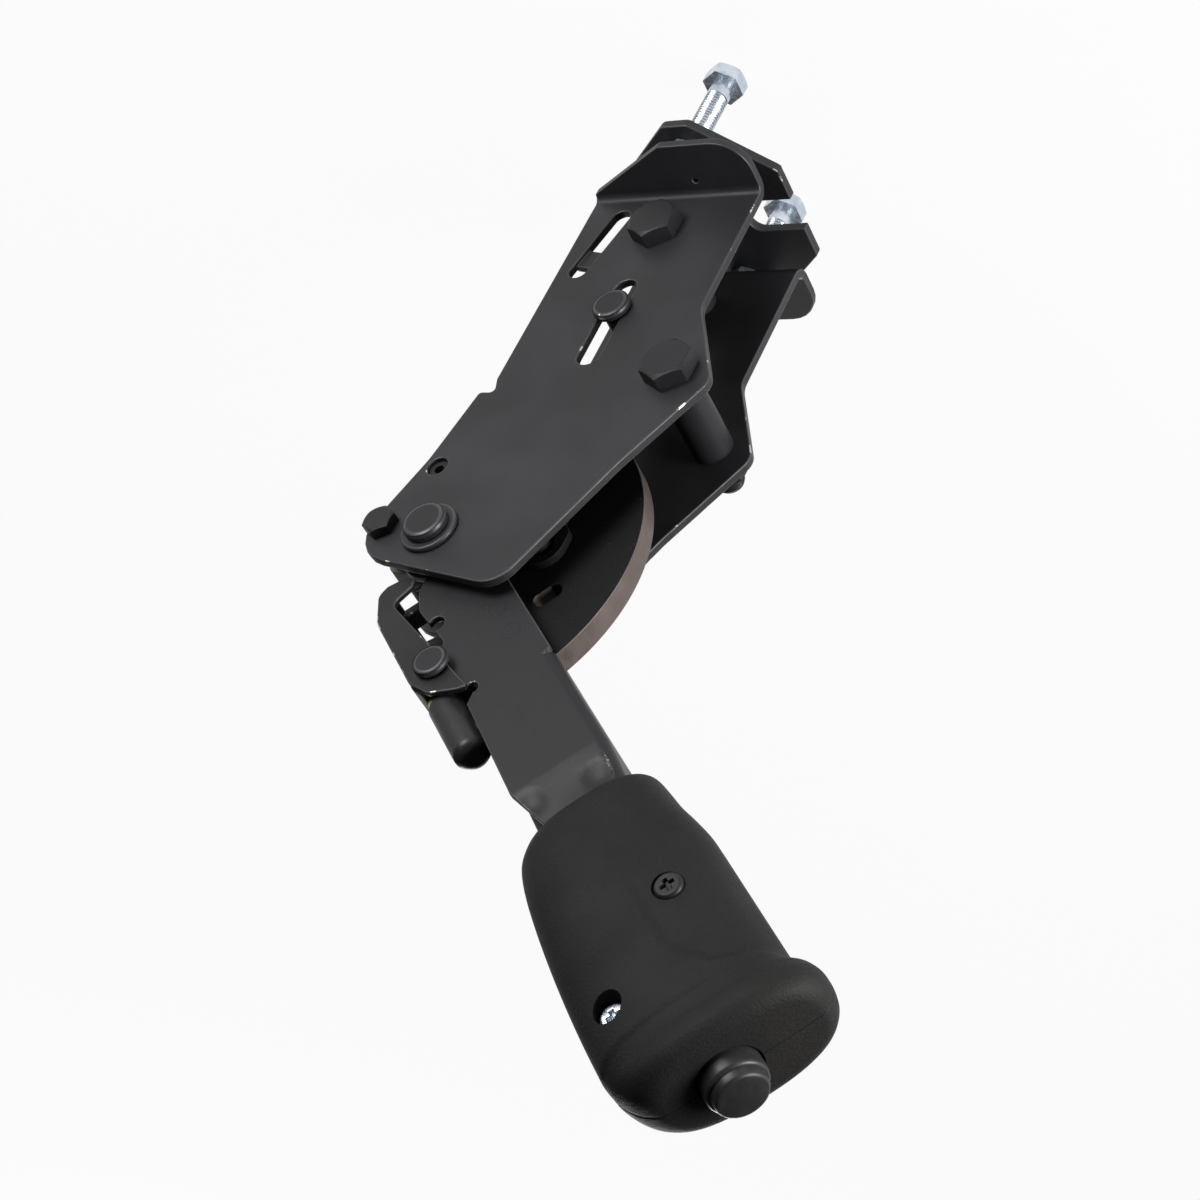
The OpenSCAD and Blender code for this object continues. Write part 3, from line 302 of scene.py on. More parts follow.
def grained_plastic(name, base, grain_mm):
    """Glass-filled nylon from a spark-eroded mould: matt charcoal with a fine pebble grain,
    polished a little where the hand rubs it."""
    made, tree, shader, coords = new_material(name)
    # Real grain is about half a millimetre wide; it is drawn coarser, so that it shows
    cells = {"Vector": coords, "Scale": per_metre(grain_mm)}
    pebble = add(tree, "ShaderNodeTexVoronoi", cells, feature="SMOOTH_F1")
    fine = {"Vector": coords, "Scale": per_metre(grain_mm * 0.45), "Detail": 3.0, "Roughness": 0.6}
    fine = add(tree, "ShaderNodeTexNoise", fine)
    grain = add(tree, "ShaderNodeMath", {"Value": pebble, "Value_001": fine}, operation="ADD")
    hand = add(tree, "ShaderNodeTexNoise", {"Vector": coords, "Scale": per_metre(42), "Detail": 3.0})
    rub = add(tree, "ShaderNodeMapRange", {"Value": hand, "From Min": 0.35, "From Max": 0.7})
    body = {"Factor": rub, "A": rgba(base), "B": rgba(linear("#1b1a19"))}
    body = add(tree, "ShaderNodeMix", body, data_type="RGBA")
    speck = {"Value": fine, "From Min": 0.56, "From Max": 0.74, "To Max": 0.7}
    speck = add(tree, "ShaderNodeMapRange", speck)
    tint = {"Factor": speck, "A": body, "B": rgba(linear("#2b2a2a"))}
    worn = add(tree, "ShaderNodeTexNoise", {"Vector": coords, "Scale": per_metre(18), "Detail": 3.0})
    gloss = {"Value": worn, "From Min": 0.3, "From Max": 0.7, "To Min": 0.56, "To Max": 0.66}
    bump = add(tree, "ShaderNodeBump", {"Height": grain, "Distance": 0.14 * MM, "Strength": 0.7})
    surface(tree, shader, tint, gloss, {"Specular IOR Level": 0.12, "Normal": bump})
    return made


def smooth_plastic(name, base):
    """Moulded acetal from a polished tool: near black, with a soft gloss and fine scuffs."""
    made, tree, shader, coords = new_material(name)
    rubs = {"Vector": coords, "Scale": per_metre(3), "Detail": 5.0, "Roughness": 0.7}
    rubs = add(tree, "ShaderNodeTexNoise", rubs)
    scuff = add(tree, "ShaderNodeMapRange", {"Value": rubs, "From Min": 0.5, "From Max": 0.72, "To Max": 0.6})
    tint = {"Factor": scuff, "A": rgba(base), "B": rgba(linear("#29292b"))}
    wear = add(tree, "ShaderNodeTexNoise", {"Vector": coords, "Scale": per_metre(6), "Detail": 4.0})
    gloss = {"Value": wear, "From Min": 0.3, "From Max": 0.7, "To Min": 0.32, "To Max": 0.48}
    surface(tree, shader, tint, gloss, {"Specular IOR Level": 0.25})
    return made


FINISHES = {}


def finish(name):
    """The material of that finish, made when it is first asked for."""
    tint, size, _stage = settings()
    makers = {
        "dip_coat": (dip_coat, "black_dip_coat_on_steel", tint.coat, tint.coat_pale, (0.4, 0.52), 0.22),
        "coat_edge": (worn_edge, "worn_edge_of_dip_coat", tint.coat_pale, tint.chip, 0.65),
        "thin_coat": (dip_coat, "thin_black_coat_on_steel", tint.coat, tint.coat, (0.4, 0.54), 0.18),
        "thin_edge": (worn_edge, "rubbed_edge_of_thin_coat", tint.coat_pale, tint.chip, 0.65),
        "pawl_edge": (worn_edge, "rubbed_edge_of_pawl", tint.coat_pale, tint.chip, 0.58),
        # A darker mix of the coat: near black with soft patches of the coat's colour, on the pawl and the
        # front grip screw
        "greased": (dip_coat, "greased_black_steel", tint.oiled, tint.coat, (0.36, 0.5), 0.2),
        # Near black all over: partly the parts' own black and partly painted shade on the sector plate's
        # faces, its spacers, the crank pin and the links between the plates
        "oiled": (dip_coat, "oiled_black_steel", tint.oiled, tint.oiled, (0.5, 0.6), 0.1),
        "zinc": (zinc_plate, "bright_zinc_plate", tint.zinc),
        "steel": (browned_steel, "browned_mild_steel", tint.steel),
        "brass": (turned_brass, "turned_brass", tint.brass),
        "grip": (grained_plastic, "grained_nylon", tint.grip, size.grain / MM),
        "button": (smooth_plastic, "smooth_acetal", tint.button),
    }
    if name not in FINISHES:
        maker, *given = makers[name]
        FINISHES[name] = maker(*given)
    return FINISHES[name]


# Meshes


def new_object(name, mesh):
    """Links a mesh into the scene as an object at the origin."""
    made = bpy.data.objects.new(name, mesh)
    bpy.context.scene.collection.objects.link(made)
    return made


def mesh_of(name, verts, faces):
    """A new mesh of those vertices and faces."""
    mesh = bpy.data.meshes.new(name)
    mesh.from_pydata([tuple(v) for v in verts], [], faces)
    return mesh


def face_out(mesh, merge):
    """Turns the faces of a closed mesh outward, after its doubles are merged where asked."""
    work = bmesh.new()
    work.from_mesh(mesh)
    if merge:
        bmesh.ops.remove_doubles(work, verts=work.verts, dist=1e-7)
    bmesh.ops.recalc_face_normals(work, faces=work.faces)
    work.to_mesh(mesh)
    work.free()
    return mesh


def evaluated(obj):
    """Applies every modifier of an object to a new mesh and gives it back."""
    graph = bpy.context.evaluated_depsgraph_get()
    graph.update()
    mesh = bpy.data.meshes.new_from_object(
        obj.evaluated_get(graph), preserve_all_data_layers=True, depsgraph=graph
    )
    obj.modifiers.clear()
    old = obj.data
    obj.data = mesh
    mesh.name = obj.name
    bpy.data.meshes.remove(old)
    return obj


def smooth(mesh, degrees):
    """Smooth shading, with edges sharper than that angle left crisp."""
    mesh.polygons.foreach_set("use_smooth", [True] * len(mesh.polygons))
    mesh.set_sharp_from_angle(angle=math.radians(degrees))


def place(obj, body, nodes):
    """Rides a finished piece on its body in place of its CAD nodes."""
    if not obj.data.polygons:
        raise RuntimeError(f"{obj.name} came out empty")
    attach(obj, body)
    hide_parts(*nodes)
    return obj


# How a CAD mesh is joined and rounded: vertices this near are one, faces this even are one,
# edges past this angle are sharp, none is rounded this near a plain spot, and a vertex this
# far off the CAD surface has strayed
MERGE = 0.02 * MM
EVEN = math.radians(0.6)
SHARP = math.radians(34)
PLAIN_REACH = 5 * MM
STRAY = 0.14 * MM


def cad_copy(node, name, plain):
    """A merged copy of a CAD node's mesh with its flat faces joined and its sharp edges marked
    for rounding, except those round the plain spots."""
    work = bmesh.new()
    work.from_mesh(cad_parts[node].data)
    bmesh.ops.remove_doubles(work, verts=work.verts, dist=MERGE)
    bmesh.ops.dissolve_degenerate(work, edges=work.edges, dist=MERGE)
    bmesh.ops.dissolve_limit(
        work, angle_limit=EVEN, verts=work.verts, edges=work.edges, use_dissolve_boundaries=False
    )
    mark = work.edges.layers.float.new("bevel_weight_edge")
    for edge in work.edges:
        mid = (edge.verts[0].co + edge.verts[1].co) / 2
        kept = any(((mid - spot) * Vector((1, 0, 1))).length < PLAIN_REACH for spot in plain)
        sharp = edge.calc_face_angle(0) > SHARP
        edge[mark] = float(sharp and not kept)
        edge.smooth = not (sharp and kept)
    mesh = bpy.data.meshes.new(name)
    work.to_mesh(mesh)
    work.free()
    return mesh


def pull_back(mesh, node):
    """Puts vertices that the rounding threw off the CAD surface back onto it."""
    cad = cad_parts[node].data
    corners = [v.co for v in cad.vertices]
    shell = BVHTree.FromPolygons(corners, [face.vertices for face in cad.polygons])
    for vertex in mesh.vertices:
        spot, _normal, _index, far = shell.find_nearest(vertex.co)
        if far > STRAY:
            vertex.co = spot


def dressed(node, body, slot, coat, edge=None, width=None, rim=None, plain=(), press=None):
    """A CAD node with its sharp edges rounded, coated, and worn along those edges; a rim is
    the finish of the sawn arc of a plate that swings about the pivot, and press a function
    that shapes the mesh further."""
    _tint, size, _stage = settings()
    obj = new_object(f"{node}_finished", cad_copy(node, f"{node}_finished", plain))
    obj.data.materials.append(finish(coat))
    obj.data.materials.append(finish(rim or edge or coat))
    if rim:
        faces = obj.data.polygons
        outward = [(face.center - PIVOT).normalized().dot(face.normal) > 0.8 for face in faces]
        faces.foreach_set("material_index", [int(on_rim) for on_rim in outward])
    round_off = obj.modifiers.new("edges", "BEVEL")
    round_off.width = width or size.part_edge
    round_off.segments = 3
    round_off.limit_method = "WEIGHT"
    round_off.use_clamp_overlap = False
    round_off.material = -1 if rim else 1
    evaluated(obj)
    pull_back(obj.data, node)
    if press:
        press(obj.data)
    obj.data.polygons.foreach_set("use_smooth", [True] * len(obj.data.polygons))
    even = obj.modifiers.new("even", "WEIGHTED_NORMAL")
    even.weight = 60
    even.keep_sharp = True
    evaluated(obj)
    return place(obj, body, [node])


def skin(rings, closed_ends):
    """Vertices and faces of a tube through rings of equal point counts."""
    count = len(rings[0])
    verts = [tuple(p) for ring in rings for p in ring]
    faces = []
    for i in range(len(rings) - 1):
        for k in range(count):
            a, b = i * count + k, i * count + (k + 1) % count
            faces.append((a, b, b + count, a + count))
    if closed_ends:
        faces.append(tuple(reversed(range(count))))
        faces.append(tuple((len(rings) - 1) * count + k for k in range(count)))
    return verts, faces


# Points in a ring of a bolt or nut, and rings in one pitch of its thread
RING = 72
THREAD_RINGS = 8

# A hex bolt in millimetres: width across flats, head height, radius and length of the shank,
# the part of it without thread, and the height of its nut
Bolt = namedtuple("Bolt", "flats head radius shank plain nut")
CROSS = Bolt(16, 6.4, 5, 52, 37, 8)
CORNER = Bolt(10, 4, 3, 44.5, 30, 5)
CLAMP = Bolt(13, 5.3, 4, 35, 6, 6)
NUT_GAP = 0.05


def ring(radius, height):
    """One ring round Z; radius and height are numbers or one value for each point."""
    turn = np.arange(RING) * (2 * math.pi / RING)
    radius, height = np.broadcast_to(radius, RING), np.broadcast_to(height, RING)
    return np.stack([radius * np.cos(turn), radius * np.sin(turn), height], 1)


def hex_radius(flats):
    """Distance to the side of a hexagon at each point of a ring."""
    turn = np.arange(RING) * (2 * math.pi / RING)
    return flats / 2 / np.cos((turn + math.pi / 6) % (math.pi / 3) - math.pi / 6)


def hex_side(flats, top, sign):
    """Rings of one chamfered end of a hexagon: flat circle, then the scalloped edge."""
    outer = hex_radius(flats)
    flat_r = flats * 0.475
    drop = np.maximum(outer - flat_r, 0) * math.tan(math.radians(30))
    return [ring(flat_r, top), ring(outer, top - sign * drop)]


def thread_rings(radius, pitch, start, end):
    """Rings of a cut thread between two heights, its crest at the given radius."""
    depth = pitch * 0.28
    turn = np.arange(RING) / RING
    steps = max(4, int((end - start) / pitch * THREAD_RINGS))
    made = []
    for z in np.linspace(start, end, steps):
        wave = np.abs(((z / pitch - turn) % 1.0) * 2 - 1)
        made.append(ring(radius - depth * np.clip(wave * 1.5 - 0.25, 0, 1), z))
    return made


def bolt_mesh(name, kind, pitch):
    """Hex bolt along Z, head up, seat at zero: chamfered head, plain shank, cut thread."""
    flats, head, radius, shank, plain, _nut = (value * MM for value in kind)
    thread = thread_rings(radius, pitch, -shank + 0.6 * pitch, -plain - 0.2 * pitch)
    rings = [ring(flats * 0.2, head), *hex_side(flats, head, 1), ring(hex_radius(flats), 0)]
    rings += [ring(radius, 0), ring(radius, -plain), *reversed(thread)]
    rings += [ring(radius - 0.6 * pitch, -shank)]
    return mesh_of(name, *skin(list(reversed(rings)), True))


def nut_mesh(name, kind):
    """Hex nut along Z from zero up, chamfered at both ends and at its bore."""
    flats, bore, height = kind.flats * MM, (kind.radius + NUT_GAP) * MM, kind.nut * MM
    lead = 0.06 * flats
    rings = [ring(bore + lead, 0), *hex_side(flats, 0, -1), *reversed(hex_side(flats, height, 1))]
    rings += [ring(bore + lead, height), ring(bore, height - lead), ring(bore, lead)]
    return face_out(mesh_of(name, *skin([*rings, rings[0]], False)), merge=True)


# Geometry Nodes


def new_tree(name, inputs, output):
    """An empty Geometry Nodes tree with named inputs and one output."""
    tree = bpy.data.node_groups.new(name, "GeometryNodeTree")
    for label, kind in inputs.items():
        tree.interface.new_socket(name=label, in_out="INPUT", socket_type=f"NodeSocket{kind}")
    tree.interface.new_socket(name=output, in_out="OUTPUT", socket_type="NodeSocketGeometry")
    return tree


def set_inputs(modifier, tree, values):
    """Sets a modifier's inputs by the identifiers of the tree's named sockets."""
    for item in tree.interface.items_tree:
        if item.in_out == "INPUT" and item.name in values:
            modifier[item.identifier] = values[item.name]


def fastener_tree():
    """Tree that sets one fastener on every point of a mesh, all turned the same way."""
    inputs = {"Places": "Geometry", "Fastener": "Object", "Turn": "Vector", "Finish": "Material"}
    tree = new_tree("set_of_fasteners", inputs, "Set")
    given = add(tree, "NodeGroupInput").outputs
    part = add(tree, "GeometryNodeObjectInfo", {"Object": given["Fastener"]})
    on_points = {
        "Points": given["Places"],
        "Instance": part.outputs["Geometry"],
        "Rotation": given["Turn"],
    }
    spread = add(tree, "GeometryNodeInstanceOnPoints", on_points).outputs[0]
    real = add(tree, "GeometryNodeRealizeInstances", {"Geometry": spread}).outputs[0]
    done = add(tree, "GeometryNodeSetMaterial", {"Geometry": real, "Material": given["Finish"]})
    add(tree, "NodeGroupOutput", {"Set": done.outputs[0]})
    return tree


def spring_tree():
    """Tree that winds a round wire into a coil along Z."""
    inputs = dict.fromkeys(("Coil", "Wire", "Turns", "Height"), "Float")
    tree = new_tree("wound_spring", {**inputs, "Points": "Int", "Finish": "Material"}, "Spring")
    given = add(tree, "NodeGroupInput").outputs
    winding = {
        "Resolution": given["Points"],
        "Rotations": given["Turns"],
        "Start Radius": given["Coil"],
        "End Radius": given["Coil"],
        "Height": given["Height"],
    }
    path = add(tree, "GeometryNodeCurveSpiral", winding).outputs[0]
    round_wire = {"Resolution": 12, "Radius": given["Wire"]}
    rim = add(tree, "GeometryNodeCurvePrimitiveCircle", round_wire).outputs[0]
    drawn = {"Curve": path, "Profile Curve": rim, "Fill Caps": True}
    wire = add(tree, "GeometryNodeCurveToMesh", drawn).outputs[0]
    real = add(tree, "GeometryNodeRealizeInstances", {"Geometry": wire}).outputs[0]
    done = add(tree, "GeometryNodeSetMaterial", {"Geometry": real, "Material": given["Finish"]})
    add(tree, "NodeGroupOutput", {"Spring": done.outputs[0]})
    return tree


def node_tree(name, maker):
    """A Geometry Nodes tree by name, built on its first use."""
    return bpy.data.node_groups.get(name) or maker()


def fastener_set(name, mesh, places, turn, coat, nodes):
    """Sets one fastener at each place and puts the set on the bracket."""
    part = new_object(f"{name}_pattern", mesh)
    obj = new_object(name, mesh_of(name, places, []))
    tree = node_tree("set_of_fasteners", fastener_tree)
    modifier = obj.modifiers.new("set", "NODES")
    modifier.node_group = tree
    set_inputs(modifier, tree, {"Fastener": part, "Turn": turn, "Finish": finish(coat)})
    evaluated(obj)
    smooth(obj.data, 28)
    bpy.data.objects.remove(part)
    return place(obj, "bracket", nodes)


def spring(name, wound, start, node):
    """Winds a spring along the lever, from start; wound gives its coil radius, turns and length."""
    _tint, size, _stage = settings()
    coil, turns, span = wound
    wire = size.wire
    obj = new_object(name, bpy.data.meshes.new(name))
    tree = node_tree("wound_spring", spring_tree)
    modifier = obj.modifiers.new("wind", "NODES")
    modifier.node_group = tree
    values = {"Coil": coil * MM, "Wire": wire, "Turns": turns, "Height": span * MM - 2 * wire}
    set_inputs(modifier, tree, {**values, "Points": size.coil_points, "Finish": finish("steel")})
    evaluated(obj)
    turn = LEVER_DIR.to_track_quat("Z", "Y").to_matrix().to_4x4()
    obj.data.transform(Matrix.Translation(start + LEVER_DIR * wire) @ turn)
    face_out(obj.data, merge=True)
    smooth(obj.data, 50)
    place(obj, "lever", [node])
    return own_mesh(obj)


def lever_point(along, above, across=0.0):
    """A point given in the lever's frame, in millimetres."""
    return ON_LEVER @ Vector((along * MM, across * MM, above * MM))


# Pressed neck of the lever, in millimetres: where it starts and ends, its half width and the
# foot of its walls there, and how far before and after it the bends reach
NECK = (113.0, 128.0)
NECK_HALF = (12.0, 9.5)
NECK_FOLD = (-9.0, -7.5)
NECK_BEFORE, NECK_AFTER = 9, 3
# Spacing of the cuts that let the neck bend, along it and up it
NECK_STEPS = (1.25, 1.2)
# Dents in the neck: places, ball and depth of the CAD's crisp ones, width and depth here
DENTS = ((120.0, 15.0), (124.0, -4.5))
DENT_BALL, DENT_DEEP = 12.0, 0.9
SOFT_WIDE, SOFT_DEEP = 6.0, 0.9


def across_neck(pair, along):
    """A size of the neck at that place along the lever."""
    share = min(max((along - NECK[0]) / (NECK[1] - NECK[0]), 0), 1)
    return pair[0] + (pair[1] - pair[0]) * share


def by_neck(along):
    """Whether that place along the lever is on the neck or its bends."""
    return NECK[0] - NECK_BEFORE < along < NECK[1] + NECK_AFTER


def neck_cut(work, spot, way):
    """Cuts the faces of the neck along a plane."""
    back = ON_LEVER.inverted()
    faces = [f for f in work.faces if by_neck((back @ f.calc_center_median()).x / MM)]
    near = {part for f in faces for part in (*f.verts, *f.edges, f)}
    near = sorted(near, key=lambda part: (type(part).__name__, part.index))
    bmesh.ops.bisect_plane(work, geom=near, dist=1e-6, plane_co=spot, plane_no=way)
    for parts in (work.verts, work.edges, work.faces):
        parts.index_update()


def soft_half(along):
    """Half width of the neck with its bends eased."""
    reach = 7 if along < sum(NECK) / 2 else 3
    return sum(across_neck(NECK_HALF, along + reach * k / 8) for k in range(-8, 9)) / 17


def soft_neck(mesh):
    """Turns the crisp bends and dents of the pressed neck into soft ones."""
    work = bmesh.new()
    work.from_mesh(mesh)
    turn = ON_LEVER.to_3x3()
    back = ON_LEVER.inverted()
    for k in range(21):
        neck_cut(work, lever_point(NECK[0] - 8 + NECK_STEPS[0] * k, 0), turn @ Vector((1, 0, 0)))
    for k in range(24):
        neck_cut(work, lever_point(0, NECK_FOLD[0] + NECK_STEPS[1] * k), turn @ Vector((0, 0, 1)))
    for vertex in work.verts:
        along, across, above = (back @ vertex.co) / MM
        if not by_neck(along):
            continue
        hard, soft = across_neck(NECK_HALF, along), soft_half(along)
        drop = hard - abs(across)
        # Inner faces and the web keep their shape and only follow the bends
        if drop > 1.3 or above < across_neck(NECK_FOLD, along) - 2.5:
            vertex.co = lever_point(along, above, across * soft / hard)
            continue
        for start, up in DENTS:
            apart = (along - start) ** 2 + (above - up) ** 2
            ball = across_neck(NECK_HALF, start) + DENT_BALL - DENT_DEEP
            ball -= math.sqrt(max(DENT_BALL**2 - apart, 0))
            drop -= max(hard - ball, 0)
            drop += SOFT_DEEP * max(1 - apart / SOFT_WIDE**2, 0) ** 2
        vertex.co = lever_point(along, above, math.copysign(soft - drop, across))
    work.to_mesh(mesh)
    work.free()


def middle(node):
    """Centre of a CAD node's box."""
    low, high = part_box(node)
    return (low + high) / 2


# Grip, in the lever's frame in millimetres: its start, its length, the button's axis, the two
# screws, and the exponent that squares its section
GRIP_START = 131.0
GRIP_LENGTH = 97.5
BUTTON_AXIS = (0, 6)
FRONT_SCREW = (178, -5.5)
END_SCREW = (201.2, 23.3)
SQUARED = 0.77


def grip_rows():
    """Rows along the grip: distance, palm height, finger depth and half width in millimetres."""
    t = np.linspace(0, 1, 10)
    u = np.clip(t / 0.36, 0, 1)
    palm = 28 + 6.9 * np.sin(t * math.pi / 2) ** 0.7
    finger = 18.8 + 3.2 * u * u * (3 - 2 * u)
    body = np.stack([6 + 74.5 * t, palm, finger, 16 + np.minimum(1, 4 * t)], 1)
    mouth = [(0, 22, 16.8, 13), (0.7, 24, 17.7, 14.1), (2, 25.5, 18.3, 14.8)]
    guard = [
        (83, 34.5, 23.7, 16.4),
        (86, 34, 26.1, 16.5),
        (89.5, 32.7, 27, 17.5),
        (92.5, 31, 26.5, 17.9),
        (95.3, 28.4, 24.8, 17),
        (96.9, 25.9, 22.6, 15.2),
        (GRIP_LENGTH, 24, 21, 13),
    ]
    return np.vstack([mouth, body, guard])


def eased(table, at):
    """Smooth values of a table's columns between its rows, with no overshoot."""
    x, y = table[:, 0], table[:, 1:]
    step = np.diff(x)[:, None]
    slope = np.diff(y, axis=0) / step
    rate = np.zeros_like(y)
    rate[0], rate[-1] = slope[0], slope[-1]
    a, b = slope[:-1], slope[1:]
    same = a * b > 0
    with np.errstate(divide="ignore", invalid="ignore"):
        rate[1:-1] = np.where(same, 2 * a * b / (a + b), 0)
    i = np.clip(np.searchsorted(x, at) - 1, 0, len(x) - 2)
    h = step[i]
    t = ((at - x[i]) / (x[i + 1] - x[i]))[:, None]
    return (
        (2 * t**3 - 3 * t**2 + 1) * y[i]
        + (t**3 - 2 * t**2 + t) * h * rate[i]
        + (3 * t**2 - 2 * t**3) * y[i + 1]
        + (t**3 - t**2) * h * rate[i + 1]
    )


def ease(low, high, value):
    """Smooth step from 0 at low to 1 at high."""
    t = np.clip((value - low) / (high - low), 0, 1)
    return t * t * (3 - 2 * t)


def grip_skin(scoop, seam):
    """Rings of the moulded grip in the lever's frame, in millimetres."""
    spans = ((0, 3, 7), (3, 36, 28), (36, GRIP_LENGTH, 110))
    stations = np.unique(np.concatenate([np.linspace(*span) for span in spans]))
    rows = eased(grip_rows(), stations)
    near_seam = np.array([0.4, 1.0])
    quarter = np.concatenate([[0], near_seam, np.linspace(2, 88, 44), 90 - near_seam[::-1]])
    turn = np.radians(np.concatenate([90 + quarter, 180 + quarter, 270 + quarter, quarter]))
    c, s = np.cos(turn), np.sin(turn)
    wide = np.sign(c) * np.abs(c) ** SQUARED
    tall = np.sign(s) * np.abs(s) ** SQUARED
    rings = []
    for x, (palm, finger, half) in zip(stations, rows):
        y = half * wide
        z = (palm - finger) / 2 + (palm + finger) / 2 * tall
        along = GRIP_START + x
        # The finger scoop lies below a curved edge, fades in, and stops at the slanted lip
        edge = 3.5 - 10.5 * ease(192, 214, along) - 14 * ease(207, 213, along)
        inside = ease(0.5, -1.7, z - edge) * ease(160, 188, along)
        inside = inside * ease(213, 206, along + 0.12 * (z + 10))
        y = y - np.sign(y) * scoop * inside * ease(2, 9, np.abs(y))
        groove = seam * ease(0.5, 0.05, np.abs(y))
        z = z - np.sign(z - 6) * groove
        rings.append(np.stack([np.full_like(y, along), y, z], 1))
    return rings


def cutter(name, verts, faces):
    """A closed solid for cutting, given in the lever's frame in millimetres."""
    mesh = mesh_of(name, [ON_LEVER @ (Vector(v) * MM) for v in verts], faces)
    return new_object(name, face_out(mesh, merge=False))


def block(name, low, high):
    """A box between two corners in the lever's frame."""
    verts = [(x, y, z) for x in (low[0], high[0]) for y in (low[1], high[1]) for z in (low[2], high[2])]
    faces = [(0, 1, 3, 2), (4, 6, 7, 5), (0, 4, 5, 1), (2, 3, 7, 6), (0, 2, 6, 4), (1, 5, 7, 3)]
    return cutter(name, verts, faces)


def bar(name, profile, axis, centre):
    """A turned solid along X or Y of the lever's frame: profile lists (distance, radius)."""
    turn = np.linspace(0, 2 * math.pi, 64, endpoint=False)
    rings = []
    for at, radius in profile:
        u, v = radius * np.cos(turn), radius * np.sin(turn)
        line = np.full_like(u, at)
        if axis == "X":
            rings.append(np.stack([line, centre[0] + u, centre[1] + v], 1))
        else:
            rings.append(np.stack([centre[0] + u, line, centre[1] + v], 1))
    return cutter(name, *skin(rings, True))


# Bores of the grip as (distance, radius): the button's along the lever, the screws' across it
BUTTON_BORE = [
    (194, 3.3),
    (201.2, 3.3),
    (201.2, 9.8),
    (213.5, 9.8),
    (213.5, 9.1),
    (228, 9.1),
    (229.5, 10.4),
]
FRONT_BORE = [(-14.5, 2.25), (13.2, 2.25), (13.2, 4.5), (17, 4.5), (30, 6)]
END_BORE = [(-14.5, 2.25), (8, 2.25), (8, 4.5), (16.6, 4.5), (30, 6)]


def grip_half(name, node, side):
    """One moulded half of the grip with its pocket, bores and screw recess."""
    _tint, size, _stage = settings()
    rings = grip_skin(size.scoop / MM, size.seam / MM)
    obj = cutter(name, *skin(rings, True))
    obj.data.materials.append(finish("grip"))
    half = (-60, 0) if side < 0 else (0, 60)
    cuts = [
        (block("keep", (120, half[0], -60), (240, half[1], 60)), "INTERSECT"),
        (block("pocket", (120, -9.65, -11.15), (195.5, 9.65, 15.15)), "DIFFERENCE"),
        (block("slit", (227.9, -0.09, -60), (240, 0.09, 60)), "DIFFERENCE"),
        (bar("button_bore", BUTTON_BORE, "X", BUTTON_AXIS), "DIFFERENCE"),
        (bar("front", FRONT_BORE, "Y", FRONT_SCREW), "DIFFERENCE"),
        (bar("end", END_BORE, "Y", END_SCREW), "DIFFERENCE"),
    ]
    for tool, action in cuts:
        cut = obj.modifiers.new(tool.name, "BOOLEAN")
        cut.object = tool
        cut.operation = action
        cut.solver = "EXACT"
    evaluated(obj)
    for tool, _action in cuts:
        bpy.data.objects.remove(tool)
    smooth(obj.data, 32)
    return place(obj, "lever", [node])


# Operators


# What the camera and reflections see of the floor: this share white, the rest lit paper
PAPER = "#d8d8d8"
PAPER_WHITE = 0.93
FLOOR_REACH = 8.0
# Point that the lights face, and each light's direction from it, distance and width in metres
LIGHT_AIM = Vector((0, 0, 0.12))
LIGHTS = {
    "key": ((-0.26, 1.0, 0.05), 0.85, 0.5),
    "fill": ((1.0, 0.05, 0.08), 0.9, 0.5),
    "back": ((-0.5, -1.0, 0.15), 2.4, 1.2),
}


class BrakeOperator:
    """What every operator of this file shares."""

    bl_options = {"REGISTER", "UNDO"}


